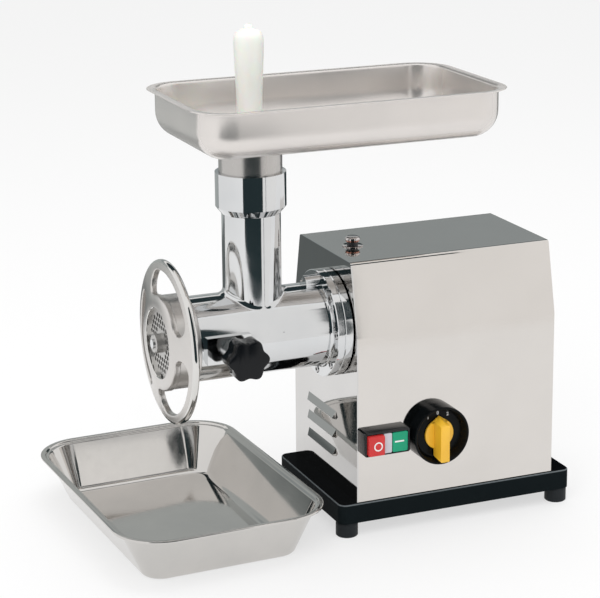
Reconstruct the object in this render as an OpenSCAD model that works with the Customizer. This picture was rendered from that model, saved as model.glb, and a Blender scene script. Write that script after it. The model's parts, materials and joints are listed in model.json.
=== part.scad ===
// Electric meat grinder with a geared motor, a screw-on ring wheel, a feed tray and a catch pan.
// The machine frame has X along the barrel (front is -X), Y across it and Z up from the floor.
// X = 0 is the front face of the housing and Y = 0 its middle plane; place() moves the whole
// machine so that the part's origin is the middle of its footprint, on the floor.

/* [Housing] */
// Length of the sheet housing, front to back
housing_l = 216.6; // [200:1:240]
// Width of the sheet housing at its foot
housing_w = 156.4; // [150:1:170]
// Height of the sheet housing above the base
housing_h = 240; // [230:1:260]
// Height at which the side walls start to lean inwards
knee_h = 168.4; // [160:1:180]
// How far each side wall leans in at the top
lean_in = 15.2; // [5:0.5:18]
// Thickness of the housing sheet
sheet_t = 1.5; // [1:0.1:2]
// Length of each pressed louvre
louvre_l = 69; // [60:1:90]
// Height of each pressed louvre
louvre_h = 8.6; // [6:0.2:10]
// How far each louvre stands out at its lower edge
louvre_out = 3.2; // [2:0.2:5]

/* [Base] */
// Thickness of the moulded base
base_t = 20; // [14:0.5:22]
// How far the base stands out in front
base_front = 18.3; // [12:0.5:20]
// How far the base stands out behind
base_rear = 21.4; // [12:0.2:24]
// How far the base stands out at each side
base_side = 2.2; // [1:0.2:4]
// Height of the rubber feet
foot_h = 15; // [12:0.5:20]
// Diameter of the rubber feet
foot_d = 22; // [18:0.5:24]

/* [Head] */
// Distance of the barrel axis from the housing's middle plane
head_y = -21; // [-22:0.5:-18]
// Height of the barrel axis above the floor
head_z = 206; // [204:0.5:210]
// Outer diameter of the barrel
barrel_d = 83; // [82:0.5:86]
// Diameter of the bore that the worm turns in
worm_bore_d = 62; // [60:0.5:64]
// Diameter of the cutting plate
plate_d = 70; // [68:0.5:70]
// Distance of the throat axis in front of the housing
throat_x = 85.2; // [80:0.5:90]
// Outer diameter of the throat
throat_d = 57; // [55:0.5:60]
// Outer diameter of the throat collar
collar_d = 68.4; // [68:0.2:72]
// Diameter of the two meeting flanges
flange_d = 106.4; // [104:0.2:108]
// Diameter of the ring wheel
ring_d = 159.6; // [150:0.2:162]
// Thread lead of the ring wheel
ring_lead = 2.5; // [2:0.5:3]

/* [Feed] */
// Length of the feed tray over its rim
tray_l = 322; // [300:1:330]
// Width of the feed tray over its rim
tray_w = 186; // [170:1:190]
// Depth of the feed tray
tray_depth = 48; // [45:1:52]
// Outer diameter of the tray's neck
neck_d = 61; // [60:0.5:62]
// Diameter of the pusher's body
pusher_d = 48; // [44:0.5:49]
// Height of the pusher's top above the floor
pusher_top = 506; // [500:1:512]

/* [Catch pan] */
// Size of the pan across the machine
pan_w = 306; // [280:1:320]
// Size of the pan along the barrel
pan_l = 213; // [200:1:220]
// Height of the pan
pan_h = 50; // [45:1:55]
// How far the pan is turned on the floor
pan_turn = 2; // [0:0.5:4]

/* [Drive] */
// Tooth module of the motor stage
module_fast = 1.25; // [1.25]
// Tooth module of the output stage
module_slow = 1.75; // [1.75]
// Teeth of the two pinions
pinion_teeth = 17; // [17]
// Teeth of the wheel on the idler shaft
idler_teeth = 58; // [58]
// Teeth of the wheel on the output shaft
output_teeth = 50; // [50]
// Distance of the motor axis from the housing's middle plane
motor_y = 8; // [4:0.5:9]
// Outer diameter of the motor frame
motor_d = 100; // [94:1:100]

/* [Hidden] */
$fn = 64;
eps = 0.01;
fit = 0.05;             // radial clearance of a shaft that turns

// Heights and half sizes of the housing section
base_z = foot_h;
floor_z = foot_h + base_t;
knee_z = floor_z + knee_h;
top_z = floor_z + housing_h;
half_w = housing_w / 2;
half_top = half_w - lean_in;
knee_r = 14;
top_bend_r = 3;

// Stations along X of the head, from the ring wheel back to the housing
ring_front = -183;
ring_rim_front = -173.7;
ring_rim_t = 5.9;
ring_web_back = -175;
ring_rear = -153.5;
ring_lip = 4;
ring_hub_r = 45.6;
ring_bore_r = 34;
thread_r = 38.5;
plate_front = ring_front + ring_lip;
plate_t = 7;
plate_back = plate_front + plate_t;
barrel_front = plate_front + 1.5;
seat_r = plate_d / 2 + 0.1;
knife_t = 8;
knife_front = plate_back;
knife_back = knife_front + knife_t;
chamber_back = -159;
worm_front = knife_back;
worm_back = -30;
barrel_wall = -27;
flange_front = -17.5;
flange_seam = -9.7;
flange_back = -1;
flange_r = flange_d / 2;
flange_edge = 0.8;
bead_r = 3;
head_bolt_pcd_r = 47.4;
head_bolt_count = 8;
head_bolt_r = 2.2;
head_bolt_head_r = 3.9;
head_bolt_head_h = 5;
head_bolt_proud = 1;
boss_angle = 97;

// Throat and collar heights
collar_top = head_z + 159.7;
collar_bottom = head_z + 126.5;
collar_taper = 7;
collar_bore = neck_d / 2 + 0.15;
throat_bore_r = 25;
tray_rim_z = collar_top + 74.7;
tray_bottom_z = tray_rim_z - tray_depth;
tray_sheet = 1.2;
tray_r = 38;
tray_rim_w = 8;
tray_fillet = 26;
tray_offset = 79;
tray_x = tray_offset - throat_x;

// Clamp knob, along -Y from the barrel
knob_x = -123;
boss_y = head_y - 47;
knob_collar_l = 18;
knob_l = 25;
knob_d = 41;
knob_lobes = 6;
knob_flute = 3.6;
stud_r = 5;
knob_seat_y = boss_y - knob_collar_l;

// Catch pan, standing on the floor below the ring wheel
pan_x = -150;
pan_y = 25;
pan_r = 48;
pan_rim_w = 7;
pan_draft = 20;
pan_sheet = 1;
pan_hx = (pan_l / 2 - pan_r) * cos(pan_turn) + (pan_w / 2 - pan_r) * sin(pan_turn) + pan_r;

// Gear train: motor, idler and output axes lie on one line across the gearbox
fast_gap = module_fast * (pinion_teeth + idler_teeth) / 2;
slow_gap = module_slow * (pinion_teeth + output_teeth) / 2;
axis_gap = fast_gap + slow_gap;
mesh_angle = 180 - acos((motor_y - head_y) / axis_gap);
motor_z = head_z - axis_gap * sin(mesh_angle);
idler_y = motor_y + fast_gap * cos(mesh_angle);
idler_z = motor_z + fast_gap * sin(mesh_angle);
case_front = 5;
case_wall = 10;
case_back = 55;
cover_t = 11;
cover_back = case_back + cover_t;
slow_front = 17;
slow_t = 18;
fast_front = 38;
fast_t = 12;
pressure = 20;
backlash = 0.12;
flank_steps = 4;
motor_r = motor_d / 2;
frame_back = 170;
bell_t = 12;
bell_back = frame_back + bell_t;

// Controls on the near side wall
wall_y = -half_w;
box_x = 4.4;
box_l = 48.5;
box_z = floor_z + 49.3;
box_h = 25;
box_depth = 10;
button_h = 20.5;
stop_x = box_x + 2.2;
stop_l = 17.3;
lens_x = stop_x + stop_l + 0.3;
lens_l = 9;
start_x = lens_x + lens_l + 0.3;
start_l = 16.6;
selector_x = 84.9;
selector_z = floor_z + 62.2;
selector_r = 29.5;
selector_depth = 16;
dish_depth = 9;
lever_disc_r = 15.5;
lever_reach = 23.4;
lever_w = 11;
lever_rise = 6.5;

// Footprint, from which the origin follows
x_min = pan_x - pan_hx;
x_max = housing_l + base_rear;
origin_x = (x_min + x_max) / 2;
origin_y = pan_y;

// ---------------------------------------------------------------- helpers

// Moves a piece from the machine frame to the part's origin.
module place() translate([-origin_x, -origin_y, 0]) children();

// Turns local Z to run along X through (y, z): local X lies along Y and local Y along Z.
module along_x(y, z, x = 0) translate([x, y, z]) rotate([90, 0, 90]) children();

// Turns local Z to run along -Y through (x, z), starting at y: local X along X, local Y along Z.
module toward_near(x, y, z) translate([x, y, z]) rotate([90, 0, 0]) children();

// Disc with a small chamfer on both edges.
module disc(r, h, c) rotate_extrude() polygon([[0, 0], [r - c, 0], [r, c], [r, h - c], [r - c, h], [0, h]]);

// A tube, or a ring, standing on Z.
module tube(outer_r, inner_r, h) difference() {
    cylinder(r = outer_r, h = h);
    translate([0, 0, -1]) cylinder(r = inner_r, h = h + 2);
}

// Flat rectangle with round corners, centred.
module rounded_rect(l, w, r) {
    square([l - 2 * r, w], center = true);
    square([l, w - 2 * r], center = true);
    for (sx = [-1, 1], sy = [-1, 1]) translate([sx * (l / 2 - r), sy * (w / 2 - r)]) circle(r = r);
}

// Carries a profile round a rectangle with round corners. The profile's x is measured outwards
// from the corner centres and its y is the height.
module swept(l, w, r) for (turn = [0, 90, 180, 270]) {
    run = (turn % 180 == 0 ? w : l) - 2 * r;
    reach = (turn % 180 == 0 ? l : w) / 2 - r;
    rotate([0, 0, turn]) {
        translate([reach, run / 2, 0]) rotate([90, 0, 0]) linear_extrude(run) children();
        translate([reach, run / 2, 0]) rotate_extrude(angle = 90) children();
    }
}

// Points of an arc from angle a to angle b.
function arc(cx, cy, r, a, b, n = 8) = [for (i = [0:n]) let(t = a + (b - a) * i / n)
    [cx + r * cos(t), cy + r * sin(t)]];

// Involute of angle a, in degrees.
function involute(a) = tan(a) * 180 / PI - a;

// Points of the bend of radius r at corner b of the path a, b, c, which turns to the left.
function bend(a, b, c, r) = let(u = (a - b) / norm(a - b), v = (c - b) / norm(c - b),
    half = acos(u * v) / 2, centre = b + (u + v) / norm(u + v) * r / sin(half),
    start = atan2(-u[0], u[1]) + 180)
    arc(centre[0], centre[1], r, start, start + 180 - 2 * half, 4);

// Half the angle that a tooth takes up at radius r.
function tooth_half(m, z, r) = let(pitch_r = m * z / 2, base_r = pitch_r * cos(pressure))
    90 / z - backlash / 2 / pitch_r * 180 / PI + involute(pressure)
    - involute(acos(min(1, base_r / max(r, base_r))));

// Outline of a spur gear with a tooth centred on the X axis.
function gear_points(m, z) = let(root = m * z / 2 - 1.25 * m, tip = m * z / 2 + m,
    radii = [for (i = [0:flank_steps]) root + (tip - root) * i / flank_steps])
    [for (k = [0:z - 1]) each concat(
        [for (r = radii) let(a = 360 * k / z - tooth_half(m, z, r)) [r * cos(a), r * sin(a)]],
        [for (i = [flank_steps:-1:0]) let(r = radii[i], a = 360 * k / z + tooth_half(m, z, r))
            [r * cos(a), r * sin(a)]])];

// Spur gear on Z, turned so that a tooth (or a gap) points at the angle given.
module spur_gear(m, z, h, angle, gap = false)
    rotate([0, 0, angle + (gap ? 180 / z : 0)]) linear_extrude(h) polygon(gear_points(m, z));

// Socket-head screw on Z: the head's top is at z = 0 and the shank runs down.
module socket_screw(r, head_r, head_h, l) difference() {
    union() {
        translate([0, 0, -head_h]) cylinder(r = head_r, h = head_h);
        translate([0, 0, -head_h - l]) cylinder(r = r, h = l + eps);
    }
    translate([0, 0, -head_h * 0.6]) cylinder(r = head_r * 0.55, h = head_h, $fn = 6);
}

// Ball bearing drawn as two races with a filled cage between them.
module bearing(bore_r, outer_r, h) difference() {
    tube(outer_r, bore_r, h);
    for (z = [-eps, h - 0.8]) translate([0, 0, z])
        tube(bore_r + (outer_r - bore_r) * 0.68, bore_r + (outer_r - bore_r) * 0.32, 0.8 + eps);
}

// Section of the housing, drawn in by an inset on every side but the foot.
function section(inset) = let(right = concat(
        bend([half_w - inset, floor_z], [half_w - inset, knee_z], [half_top - inset, top_z - inset],
            knee_r - inset),
        bend([half_w - inset, knee_z], [half_top - inset, top_z - inset], [0, top_z - inset],
            max(0.5, top_bend_r - inset))))
    concat([[-half_w + inset, floor_z], [half_w - inset, floor_z]], right,
        [for (i = [len(right) - 1:-1:0]) [-right[i][0], right[i][1]]]);

// ---------------------------------------------------------------- base and feet

base_l = base_front + housing_l + base_rear;
base_w = housing_w + 2 * base_side;
base_r = 8;
base_x = housing_l / 2 + (base_rear - base_front) / 2;
base_wall = 4;
rib_x = 64;
foot_inset = 11;
foot_x = [-base_front + foot_inset, housing_l + base_rear - foot_inset];
foot_y = base_w / 2 - foot_inset;
foot_screw_r = 2.5;
stand_screw_r = 2;
stand_x = [20, 108, 196];
stand_y = half_w - 8;

module base_plate() color("#23272b") difference() {
    translate([base_x, 0, base_z]) {
        swept(base_l, base_w, base_r) polygon(concat(
            [[0, 0], [base_r, 0]], arc(base_r - 1.5, base_t - 1.5, 1.5, 0, 90, 4), [[0, base_t]]));
        translate([0, 0, base_t / 2])
            cube([base_l - 2 * base_r, base_w - 2 * base_r, base_t], center = true);
    }
    difference() {
        translate([base_x, 0, base_z - 1]) linear_extrude(base_t - base_wall + 1)
            rounded_rect(base_l - 2 * base_wall, base_w - 2 * base_wall, base_r - base_wall);
        for (x = foot_x, s = [-1, 1]) translate([x, s * foot_y, base_z - 2]) cylinder(r = 9, h = base_t);
        translate([rib_x, 0, base_z + base_t / 2]) cube([base_wall, base_w, base_t], center = true);
    }
    for (x = foot_x, s = [-1, 1]) translate([x, s * foot_y, base_z - 1])
        cylinder(r = foot_screw_r + fit, h = base_t - base_wall);
    for (x = stand_x, s = [-1, 1]) translate([x, s * stand_y, base_z])
        cylinder(r = stand_screw_r + fit, h = base_t + 1);
    for (x = cradle_screw_x, s = [-1, 1]) translate([x, cradle_y + s * cradle_screw_y, base_z])
        cylinder(r = stand_screw_r + fit, h = base_t + 1);
}

module foot(x, y) color("#1b1d1f") translate([x, y, 0]) difference() {
    rotate_extrude() polygon(concat([[0, 0], [foot_d / 2 - 1, 0], [foot_d / 2, 1]],
        [[foot_d / 2, foot_h - 2], [foot_d / 2 - 0.8, foot_h], [0, foot_h]]));
    translate([0, 0, -1]) cylinder(r = 5.5, h = 7);
    cylinder(r = foot_screw_r + fit, h = foot_h + 1);
}

module foot_screws() color("silver") for (x = foot_x, s = [-1, 1]) translate([x, s * foot_y, 6]) {
    translate([0, 0, -2.5]) cylinder(r = 4.5, h = 2.5);
    translate([0, 0, -eps]) cylinder(r = foot_screw_r, h = foot_h + 5);
}

// ---------------------------------------------------------------- housing

lip = 12;
gearbox_hole_r = 45;

// Side walls and top, folded from one sheet, with a hem at the foot and a lip round the rear edge.
module housing_wrap() color("#cfc8c2") difference() {
    union() {
        along_x(0, 0, sheet_t) linear_extrude(housing_l - 2 * sheet_t) difference() {
            polygon(section(0));
            translate([0, -1]) polygon(section(sheet_t));
            translate([0, floor_z]) square([2 * (half_w - sheet_t), 4], center = true);
        }
        for (s = [-1, 1])
            translate([housing_l / 2, s * (half_w - lip / 2 - sheet_t / 2), floor_z + sheet_t / 2])
                cube([housing_l - 2 * sheet_t, lip + sheet_t, sheet_t], center = true);
        along_x(0, 0, housing_l - 2 * sheet_t) linear_extrude(sheet_t) difference() {
            polygon(section(sheet_t / 2));
            translate([0, -1]) polygon(section(lip));
            translate([0, floor_z]) square([housing_w, 4], center = true);
        }
    }
    for (x = stand_x, s = [-1, 1]) translate([x, s * stand_y, floor_z - 1])
        cylinder(r = stand_screw_r + fit, h = 4);
    translate([vent_x, vent_y, top_z - 4]) cylinder(r = vent_shank_r + fit, h = 6);
    toward_near(selector_x, wall_y + 4, selector_z) cylinder(r = 12, h = 6);
    translate([box_x + box_l / 2, wall_y, box_z + box_h / 2]) cube([box_l - 10, 6, box_h - 8], center = true);
    for (p = rear_screw_at) along_x(p[0], p[1], housing_l - 4) cylinder(r = rear_screw_r + fit, h = 4);
}

// Hood of one louvre: a flap that leans out to its rolled lower edge, with sloping ends, open below.
module louvre_form(inset) hull() {
    translate([inset - louvre_out + 1, -louvre_l / 2 + 3, 1]) rotate([-90, 0, 0])
        cylinder(r = 1, h = louvre_l - 6);
    translate([0, -louvre_l / 2 + inset, 0]) cube([sheet_t, louvre_l - 2 * inset, louvre_h - inset]);
}
louvre_z = [floor_z + 31.2, floor_z + 50.6, floor_z + 70];
louvre_y = 7.5;
louvre_sheet = 0.9;

module front_panel() color("#c9c9cb") {
    difference() {
        along_x(0, 0) linear_extrude(sheet_t) polygon(section(0));
        along_x(head_y, head_z, -1) cylinder(r = gearbox_hole_r, h = 4);
        for (z = louvre_z) translate([-1, louvre_y - louvre_l / 2 + louvre_sheet, z])
            cube([sheet_t + 2, louvre_l - 2 * louvre_sheet, louvre_h - louvre_sheet - 0.4]);
    }
    for (z = louvre_z) translate([0, louvre_y, z]) difference() {
        louvre_form(0);
        translate([0, 0, -eps]) louvre_form(louvre_sheet);
        translate([louvre_sheet, -louvre_l, -1]) cube([5, 2 * louvre_l, louvre_h - louvre_sheet + 0.6]);
        translate([-louvre_out, -louvre_l / 2 + 3.5, -1]) cube([louvre_out + 1, louvre_l - 7, 1.6]);
    }
}

rear_screw_r = 2;
rear_screw_at = [for (s = [-1, 1]) each [[s * (half_w - 7), floor_z + 20], [s * (half_w - 7), knee_z - 20],
    [s * (half_top - 20), top_z - 7]]];

module rear_panel() color("#c4c2c0") difference() {
    along_x(0, 0, housing_l - sheet_t) linear_extrude(sheet_t) polygon(section(0));
    for (p = rear_screw_at) along_x(p[0], p[1], housing_l - 3) cylinder(r = rear_screw_r + fit, h = 5);
    along_x(gland_y, gland_z, housing_l - 3) cylinder(r = gland_r + fit, h = 5);
    for (k = [-3:3]) translate([housing_l - 1, motor_y, motor_z + k * 10])
        cube([5, 60, 4], center = true);
}

module rear_panel_screws() color("silver") for (p = rear_screw_at) along_x(p[0], p[1], housing_l) {
    difference() {
        cylinder(r1 = 4, r2 = 3, h = 1.8);
        for (a = [0, 90]) rotate([0, 0, a]) translate([0, 0, 1.8]) cube([4, 0.9, 1.6], center = true);
    }
    translate([0, 0, -6]) cylinder(r = rear_screw_r, h = 6 + eps);
}

module housing_screws() color("silver") for (x = stand_x, s = [-1, 1])
    translate([x, s * stand_y, floor_z - base_wall]) {
        translate([0, 0, -2]) cylinder(r = 4, h = 2);
        translate([0, 0, -eps]) cylinder(r = stand_screw_r, h = base_wall + sheet_t + 3);
    }

vent_x = 29;
vent_y = -3;
vent_shank_r = 5;

// Filler and breather plug of the gearbox: a hexagon under a domed cap.
module vent_plug() color("#9a6a5a") translate([vent_x, vent_y, top_z]) {
    translate([0, 0, -8]) cylinder(r = vent_shank_r, h = 8 + eps);
    cylinder(r = 10.3, h = 1);
    cylinder(r = 5.5, h = 5.2);
    translate([0, 0, 5]) cylinder(r = 7, h = 1.5 + eps);
    translate([0, 0, 6.5]) rotate_extrude() polygon(concat(
        [[0, 0], [7.65, 0], [7.65, 1]], arc(5.15, 1, 2.5, 0, 90, 6), [[0, 3.5]]));
}

gland_y = -48;
gland_z = floor_z + 30;
gland_r = 8;

// Empty cable gland low on the rear panel.
module cable_gland() color("#222222") along_x(gland_y, gland_z, housing_l) difference() {
    union() {
        translate([0, 0, -8]) cylinder(r = gland_r, h = 8 + eps);
        cylinder(r = 11, h = 4, $fn = 6);
        translate([0, 0, 4 - eps]) cylinder(r1 = 9.5, r2 = 7.5, h = 9);
        translate([0, 0, -6]) cylinder(r = 11, h = 6 - sheet_t, $fn = 6);
    }
    translate([0, 0, -9]) cylinder(r = 4.2, h = 24);
}

// ---------------------------------------------------------------- gearbox and motor

neck_r = 44;
seal_pocket_x = -8.5;
big_bearing = [15, 31, 14];      // bore radius, outer radius, width
small_bearing = [7.5, 16, 9];
rear_bearing = [10, 21, 8];
cover_screw_r = 2;
cover_head_r = 3.5;
cover_bolt_r = 49.5;
cover_bolt_angles = [for (a = [-100:50:100]) mesh_angle + a];
case_head_r = 47;
case_idler_r = 41;
case_skin = 5;
case_link_w = 74;

// Outline of the gearbox round its three axes, in the local (Y, Z) plane.
module case_outline(grow) {
    translate([head_y, head_z]) circle(r = case_head_r + grow);
    translate([idler_y, idler_z]) circle(r = case_idler_r + grow);
    translate([motor_y, motor_z]) circle(r = motor_r - 8 + grow);
    translate([(head_y + motor_y) / 2, (head_z + motor_z) / 2]) rotate(mesh_angle)
        square([axis_gap, case_link_w + 2 * grow], center = true);
}

module gearbox_case() color("#b8babb") {
    difference() {
        union() {
            translate([case_front, 0, 0]) rotate([90, 0, 90]) linear_extrude(case_back - case_front)
                case_outline(case_skin);
            along_x(head_y, head_z, flange_seam) disc(flange_r, flange_back - flange_seam, flange_edge);
            along_x(head_y, head_z, flange_back - eps) cylinder(r = neck_r, h = case_front - flange_back + 1);
            translate([case_front, motor_y - 35, floor_z])
                cube([case_back - case_front, 70, motor_z - floor_z]);
        }
        translate([case_front + case_wall, 0, 0]) rotate([90, 0, 90]) linear_extrude(60) case_outline(0);
        along_x(head_y, head_z, flange_seam - 1) cylinder(r = 31 + fit / 5, h = 40);
        along_x(idler_y, idler_z, case_front + 1) cylinder(r = small_bearing[1] + fit / 5, h = 20);
        for (k = [0:head_bolt_count - 1]) along_x(head_y, head_z, flange_seam - 1)
            rotate([0, 0, 360 / head_bolt_count * k]) translate([head_bolt_pcd_r, 0, 0])
                cylinder(r = head_bolt_r + fit, h = 7);
    }
}

module gearbox_cover() color("#b8babb") difference() {
    translate([case_back, 0, 0]) rotate([90, 0, 90]) linear_extrude(cover_t)
        case_outline(case_skin);
    along_x(head_y, head_z, case_back - 1) cylinder(r = rear_bearing[1] + fit / 5, h = rear_bearing[2] + 1);
    along_x(idler_y, idler_z, case_back - 1)
        cylinder(r = small_bearing[1] + fit / 5, h = small_bearing[2] + 1);
    along_x(motor_y, motor_z, cover_back - small_bearing[2]) cylinder(r = small_bearing[1] + fit / 5, h = 20);
    along_x(motor_y, motor_z, case_back - 1) cylinder(r = 12.5, h = 20);
    for (a = cover_bolt_angles) along_x(head_y, head_z, case_back - 1) rotate([0, 0, a])
        translate([cover_bolt_r, 0, 0]) cylinder(r = cover_screw_r + fit, h = 20);
}

module gearbox_cover_screws() color("silver") for (a = cover_bolt_angles)
    along_x(head_y, head_z, cover_back) rotate([0, 0, a]) translate([cover_bolt_r, 0, 4])
        socket_screw(cover_screw_r, cover_head_r, 4, cover_t);

module output_bearing_front() color("silver") along_x(head_y, head_z, -4)
    bearing(big_bearing[0] + fit, big_bearing[1], big_bearing[2]);

module output_bearing_rear() color("silver") along_x(head_y, head_z, case_back)
    bearing(rear_bearing[0] + fit, rear_bearing[1], rear_bearing[2]);

module idler_bearings() color("silver") for (x = [case_front + 1, case_back])
    along_x(idler_y, idler_z, x) bearing(small_bearing[0] + fit, small_bearing[1], small_bearing[2]);

module rotor_bearings() color("silver") for (x = [cover_back - small_bearing[2], frame_back + 1])
    along_x(motor_y, motor_z, x) bearing(small_bearing[0] + fit, small_bearing[1], small_bearing[2]);

module shaft_seal() color("#202020") along_x(head_y, head_z, seal_pocket_x) tube(31, big_bearing[0] + fit, 4);

socket_w = 14;

module output_shaft() color("#a0a0a2") along_x(head_y, head_z) difference() {
    union() {
        translate([0, 0, flange_seam + 0.3]) cylinder(r = big_bearing[0], h = 26);
        translate([0, 0, 15]) cylinder(r = 13, h = 30);
        translate([0, 0, 44]) cylinder(r = rear_bearing[0], h = case_back + rear_bearing[2] - 44);
    }
    translate([0, 0, flange_seam + 8]) cube([socket_w + 0.2, socket_w + 0.2, 18], center = true);
}

module output_gear() color("#8c8c8e") along_x(head_y, head_z, slow_front) difference() {
    spur_gear(module_slow, output_teeth, slow_t, mesh_angle + 180, true);
    translate([0, 0, -1]) cylinder(r = 13, h = slow_t + 2);
}

module idler_shaft() color("#a0a0a2") along_x(idler_y, idler_z) {
    translate([0, 0, case_front + 1])
        cylinder(r = small_bearing[0], h = case_back + small_bearing[2] - case_front - 1);
    translate([0, 0, slow_front]) spur_gear(module_slow, pinion_teeth, slow_t, mesh_angle);
}

module idler_gear() color("#8c8c8e") along_x(idler_y, idler_z, fast_front) difference() {
    spur_gear(module_fast, idler_teeth, fast_t, mesh_angle + 180, true);
    translate([0, 0, -1]) cylinder(r = small_bearing[0], h = fast_t + 2);
}

stator_r = motor_r - 4;
rotor_r = 31;

module motor_frame() color("#5c646b") along_x(motor_y, motor_z, cover_back) {
    tube(motor_r, stator_r, frame_back - cover_back);
}

module stator_core() color("#77797c") along_x(motor_y, motor_z, 84) tube(stator_r, rotor_r + 0.5, 70);

module stator_windings() color("#b5682f") for (x = [72, 154]) along_x(motor_y, motor_z, x)
    tube(stator_r - 2, rotor_r + 3, 12);

tie_bolt_r = 2;
tie_bolt_pcd_r = motor_r - 9;

module motor_rear_bell() color("#5c646b") along_x(motor_y, motor_z, frame_back) difference() {
    cylinder(r = motor_r, h = bell_t);
    translate([0, 0, -1]) cylinder(r = small_bearing[1] + fit / 5, h = small_bearing[2] + 2);
    translate([0, 0, -1]) cylinder(r = small_bearing[0] + 1, h = bell_t + 2);
    for (a = [45:90:315]) rotate([0, 0, a]) translate([tie_bolt_pcd_r, 0, -1])
        cylinder(r = tie_bolt_r + fit, h = bell_t + 2);
}

module motor_tie_bolts() color("silver") for (a = [45:90:315])
    along_x(motor_y, motor_z, bell_back + 3) rotate([0, 0, a]) translate([tie_bolt_pcd_r, 0, 0])
        socket_screw(tie_bolt_r, 3.5, 3, bell_t - 0.2);

module rotor_shaft() color("#a0a0a2") along_x(motor_y, motor_z) {
    translate([0, 0, fast_front]) spur_gear(module_fast, pinion_teeth, fast_t, mesh_angle);
    translate([0, 0, fast_front]) cylinder(r = small_bearing[0], h = 162);
}

module rotor_core() color("#86888b") along_x(motor_y, motor_z, 86) tube(rotor_r, small_bearing[0], 66);

module cooling_fan() color("#2c2f33") along_x(motor_y, motor_z, 187) {
    tube(14, small_bearing[0], 11);
    difference() {
        cylinder(r = 42, h = 1.6);
        translate([0, 0, -1]) cylinder(r = 13.5, h = 4);
    }
    for (k = [0:8]) rotate([0, 0, 40 * k]) translate([13, -0.8, 1.5]) cube([28, 1.6, 9]);
}

cradle_y = motor_y;
cradle_x = 92;
cradle_l = 60;
cradle_w = 76;
cradle_top = motor_z - 30;
cradle_screw_x = [cradle_x - 6, cradle_x + cradle_l + 6];
cradle_screw_y = 30;

// Saddle that carries the motor on the base.
module motor_cradle() color("#3a3f44") difference() {
    union() {
        translate([cradle_x, cradle_y - cradle_w / 2, floor_z])
            cube([cradle_l, cradle_w, cradle_top - floor_z]);
        translate([cradle_x - 12, cradle_y - cradle_w / 2, floor_z]) cube([cradle_l + 24, cradle_w, 4]);
    }
    along_x(motor_y, motor_z, cradle_x - 1) cylinder(r = motor_r, h = cradle_l + 2);
    for (x = cradle_screw_x, s = [-1, 1]) translate([x, cradle_y + s * cradle_screw_y, floor_z - 1])
        cylinder(r = stand_screw_r + fit, h = 6);
}

cap_r = 20;
cap_z = motor_z + motor_r + cap_r + 3;

module run_capacitor() color("#d8d8d8") along_x(motor_y, cap_z, 96) {
    cylinder(r = cap_r, h = 62);
    translate([0, 0, 62 - eps]) cylinder(r = cap_r - 3, h = 3);
    for (s = [-1, 1]) translate([s * 7, 0, 65 - eps]) cube([1, 6, 14], center = true);
}

module capacitor_clip() color("#8f9498") translate([110, 0, 0]) difference() {
    translate([0, motor_y - 16, motor_z + motor_r - 6]) cube([34, 32, 16]);
    along_x(motor_y, motor_z, -1) cylinder(r = motor_r, h = 40);
    along_x(motor_y, cap_z, -1) cylinder(r = cap_r, h = 40);
}

// ---------------------------------------------------------------- head

bush_r = 13;
shank_r = 10;

// Barrel, throat and flange, cast in one piece.
module head_casting() color("#d4d6d8") difference() {
    union() {
        along_x(head_y, head_z) {
            translate([0, 0, barrel_front]) cylinder(r = thread_r, h = 30);
            translate([0, 0, ring_rear + 1]) cylinder(r = barrel_d / 2, h = flange_front - ring_rear);
            translate([0, 0, flange_front]) disc(flange_r, flange_seam - flange_front, flange_edge);
            translate([0, 0, flange_front - bead_r]) rotate_extrude() polygon(concat([[barrel_d / 2 - 1, 0]],
                arc(barrel_d / 2 + bead_r, 0, bead_r, 180, 90, 6), [[barrel_d / 2 - 1, bead_r + 1]]));
            rotate([0, 0, boss_angle]) translate([43, 0, -34]) cylinder(r = 8.5, h = 34 + flange_front + 1);
        }
        translate([-throat_x, head_y, head_z]) {
            cylinder(r = throat_d / 2, h = collar_top - head_z - 2);
            translate([0, 0, collar_bottom - head_z])
                cylinder(r = collar_d / 2, h = collar_top - collar_bottom);
            translate([0, 0, collar_bottom - collar_taper - head_z])
                cylinder(r1 = throat_d / 2, r2 = collar_d / 2, h = collar_taper);
        }
        translate([knob_x - 26, boss_y, head_z - 13]) cube([44, 20, 26]);
    }
    along_x(head_y, head_z) {
        translate([0, 0, barrel_front - 1]) cylinder(r = seat_r, h = chamber_back - barrel_front + 1);
        translate([0, 0, chamber_back - 1]) cylinder(r = worm_bore_d / 2, h = barrel_wall - chamber_back + 1);
        translate([0, 0, barrel_wall - 1]) cylinder(r = bush_r, h = 30);
        for (k = [0:head_bolt_count - 1]) rotate([0, 0, 360 / head_bolt_count * k])
            translate([head_bolt_pcd_r, 0, -50]) {
                cylinder(r = head_bolt_r + fit, h = 60);
                cylinder(r = head_bolt_head_r + 0.2,
                    h = 50 + flange_front + head_bolt_head_h - head_bolt_proud);
            }
    }
    translate([-throat_x, head_y, head_z]) {
        cylinder(r = throat_bore_r, h = 200);
        translate([0, 0, collar_bottom - head_z]) cylinder(r = collar_bore, h = 60);
    }
    toward_near(knob_x, head_y - worm_bore_d / 2 - 2, head_z) cylinder(r = stud_r + fit, h = 40);
    translate([barrel_front - 1, head_y - 2.5 - fit, head_z - seat_r - 2])
        cube([plate_t + 1, 5 + 2 * fit, 8]);
}

module head_bolts() color("silver") for (k = [0:head_bolt_count - 1])
    along_x(head_y, head_z, flange_front - head_bolt_proud) rotate([0, 0, 360 / head_bolt_count * k])
        translate([head_bolt_pcd_r, 0, 0]) mirror([0, 0, 1])
            socket_screw(head_bolt_r, head_bolt_head_r, head_bolt_head_h, 8);

module worm_bush() color("#b08d57") along_x(head_y, head_z, barrel_wall)
    tube(bush_r, shank_r + fit, flange_front - barrel_wall);

worm_r = worm_bore_d / 2 - 1;
worm_core_r = 14;
worm_pitch = 44;
worm_blade = 44;
knife_hub_r = 13;
square_w = 13;
stub_r = 4.5;
stub_front = -188.5;

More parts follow.
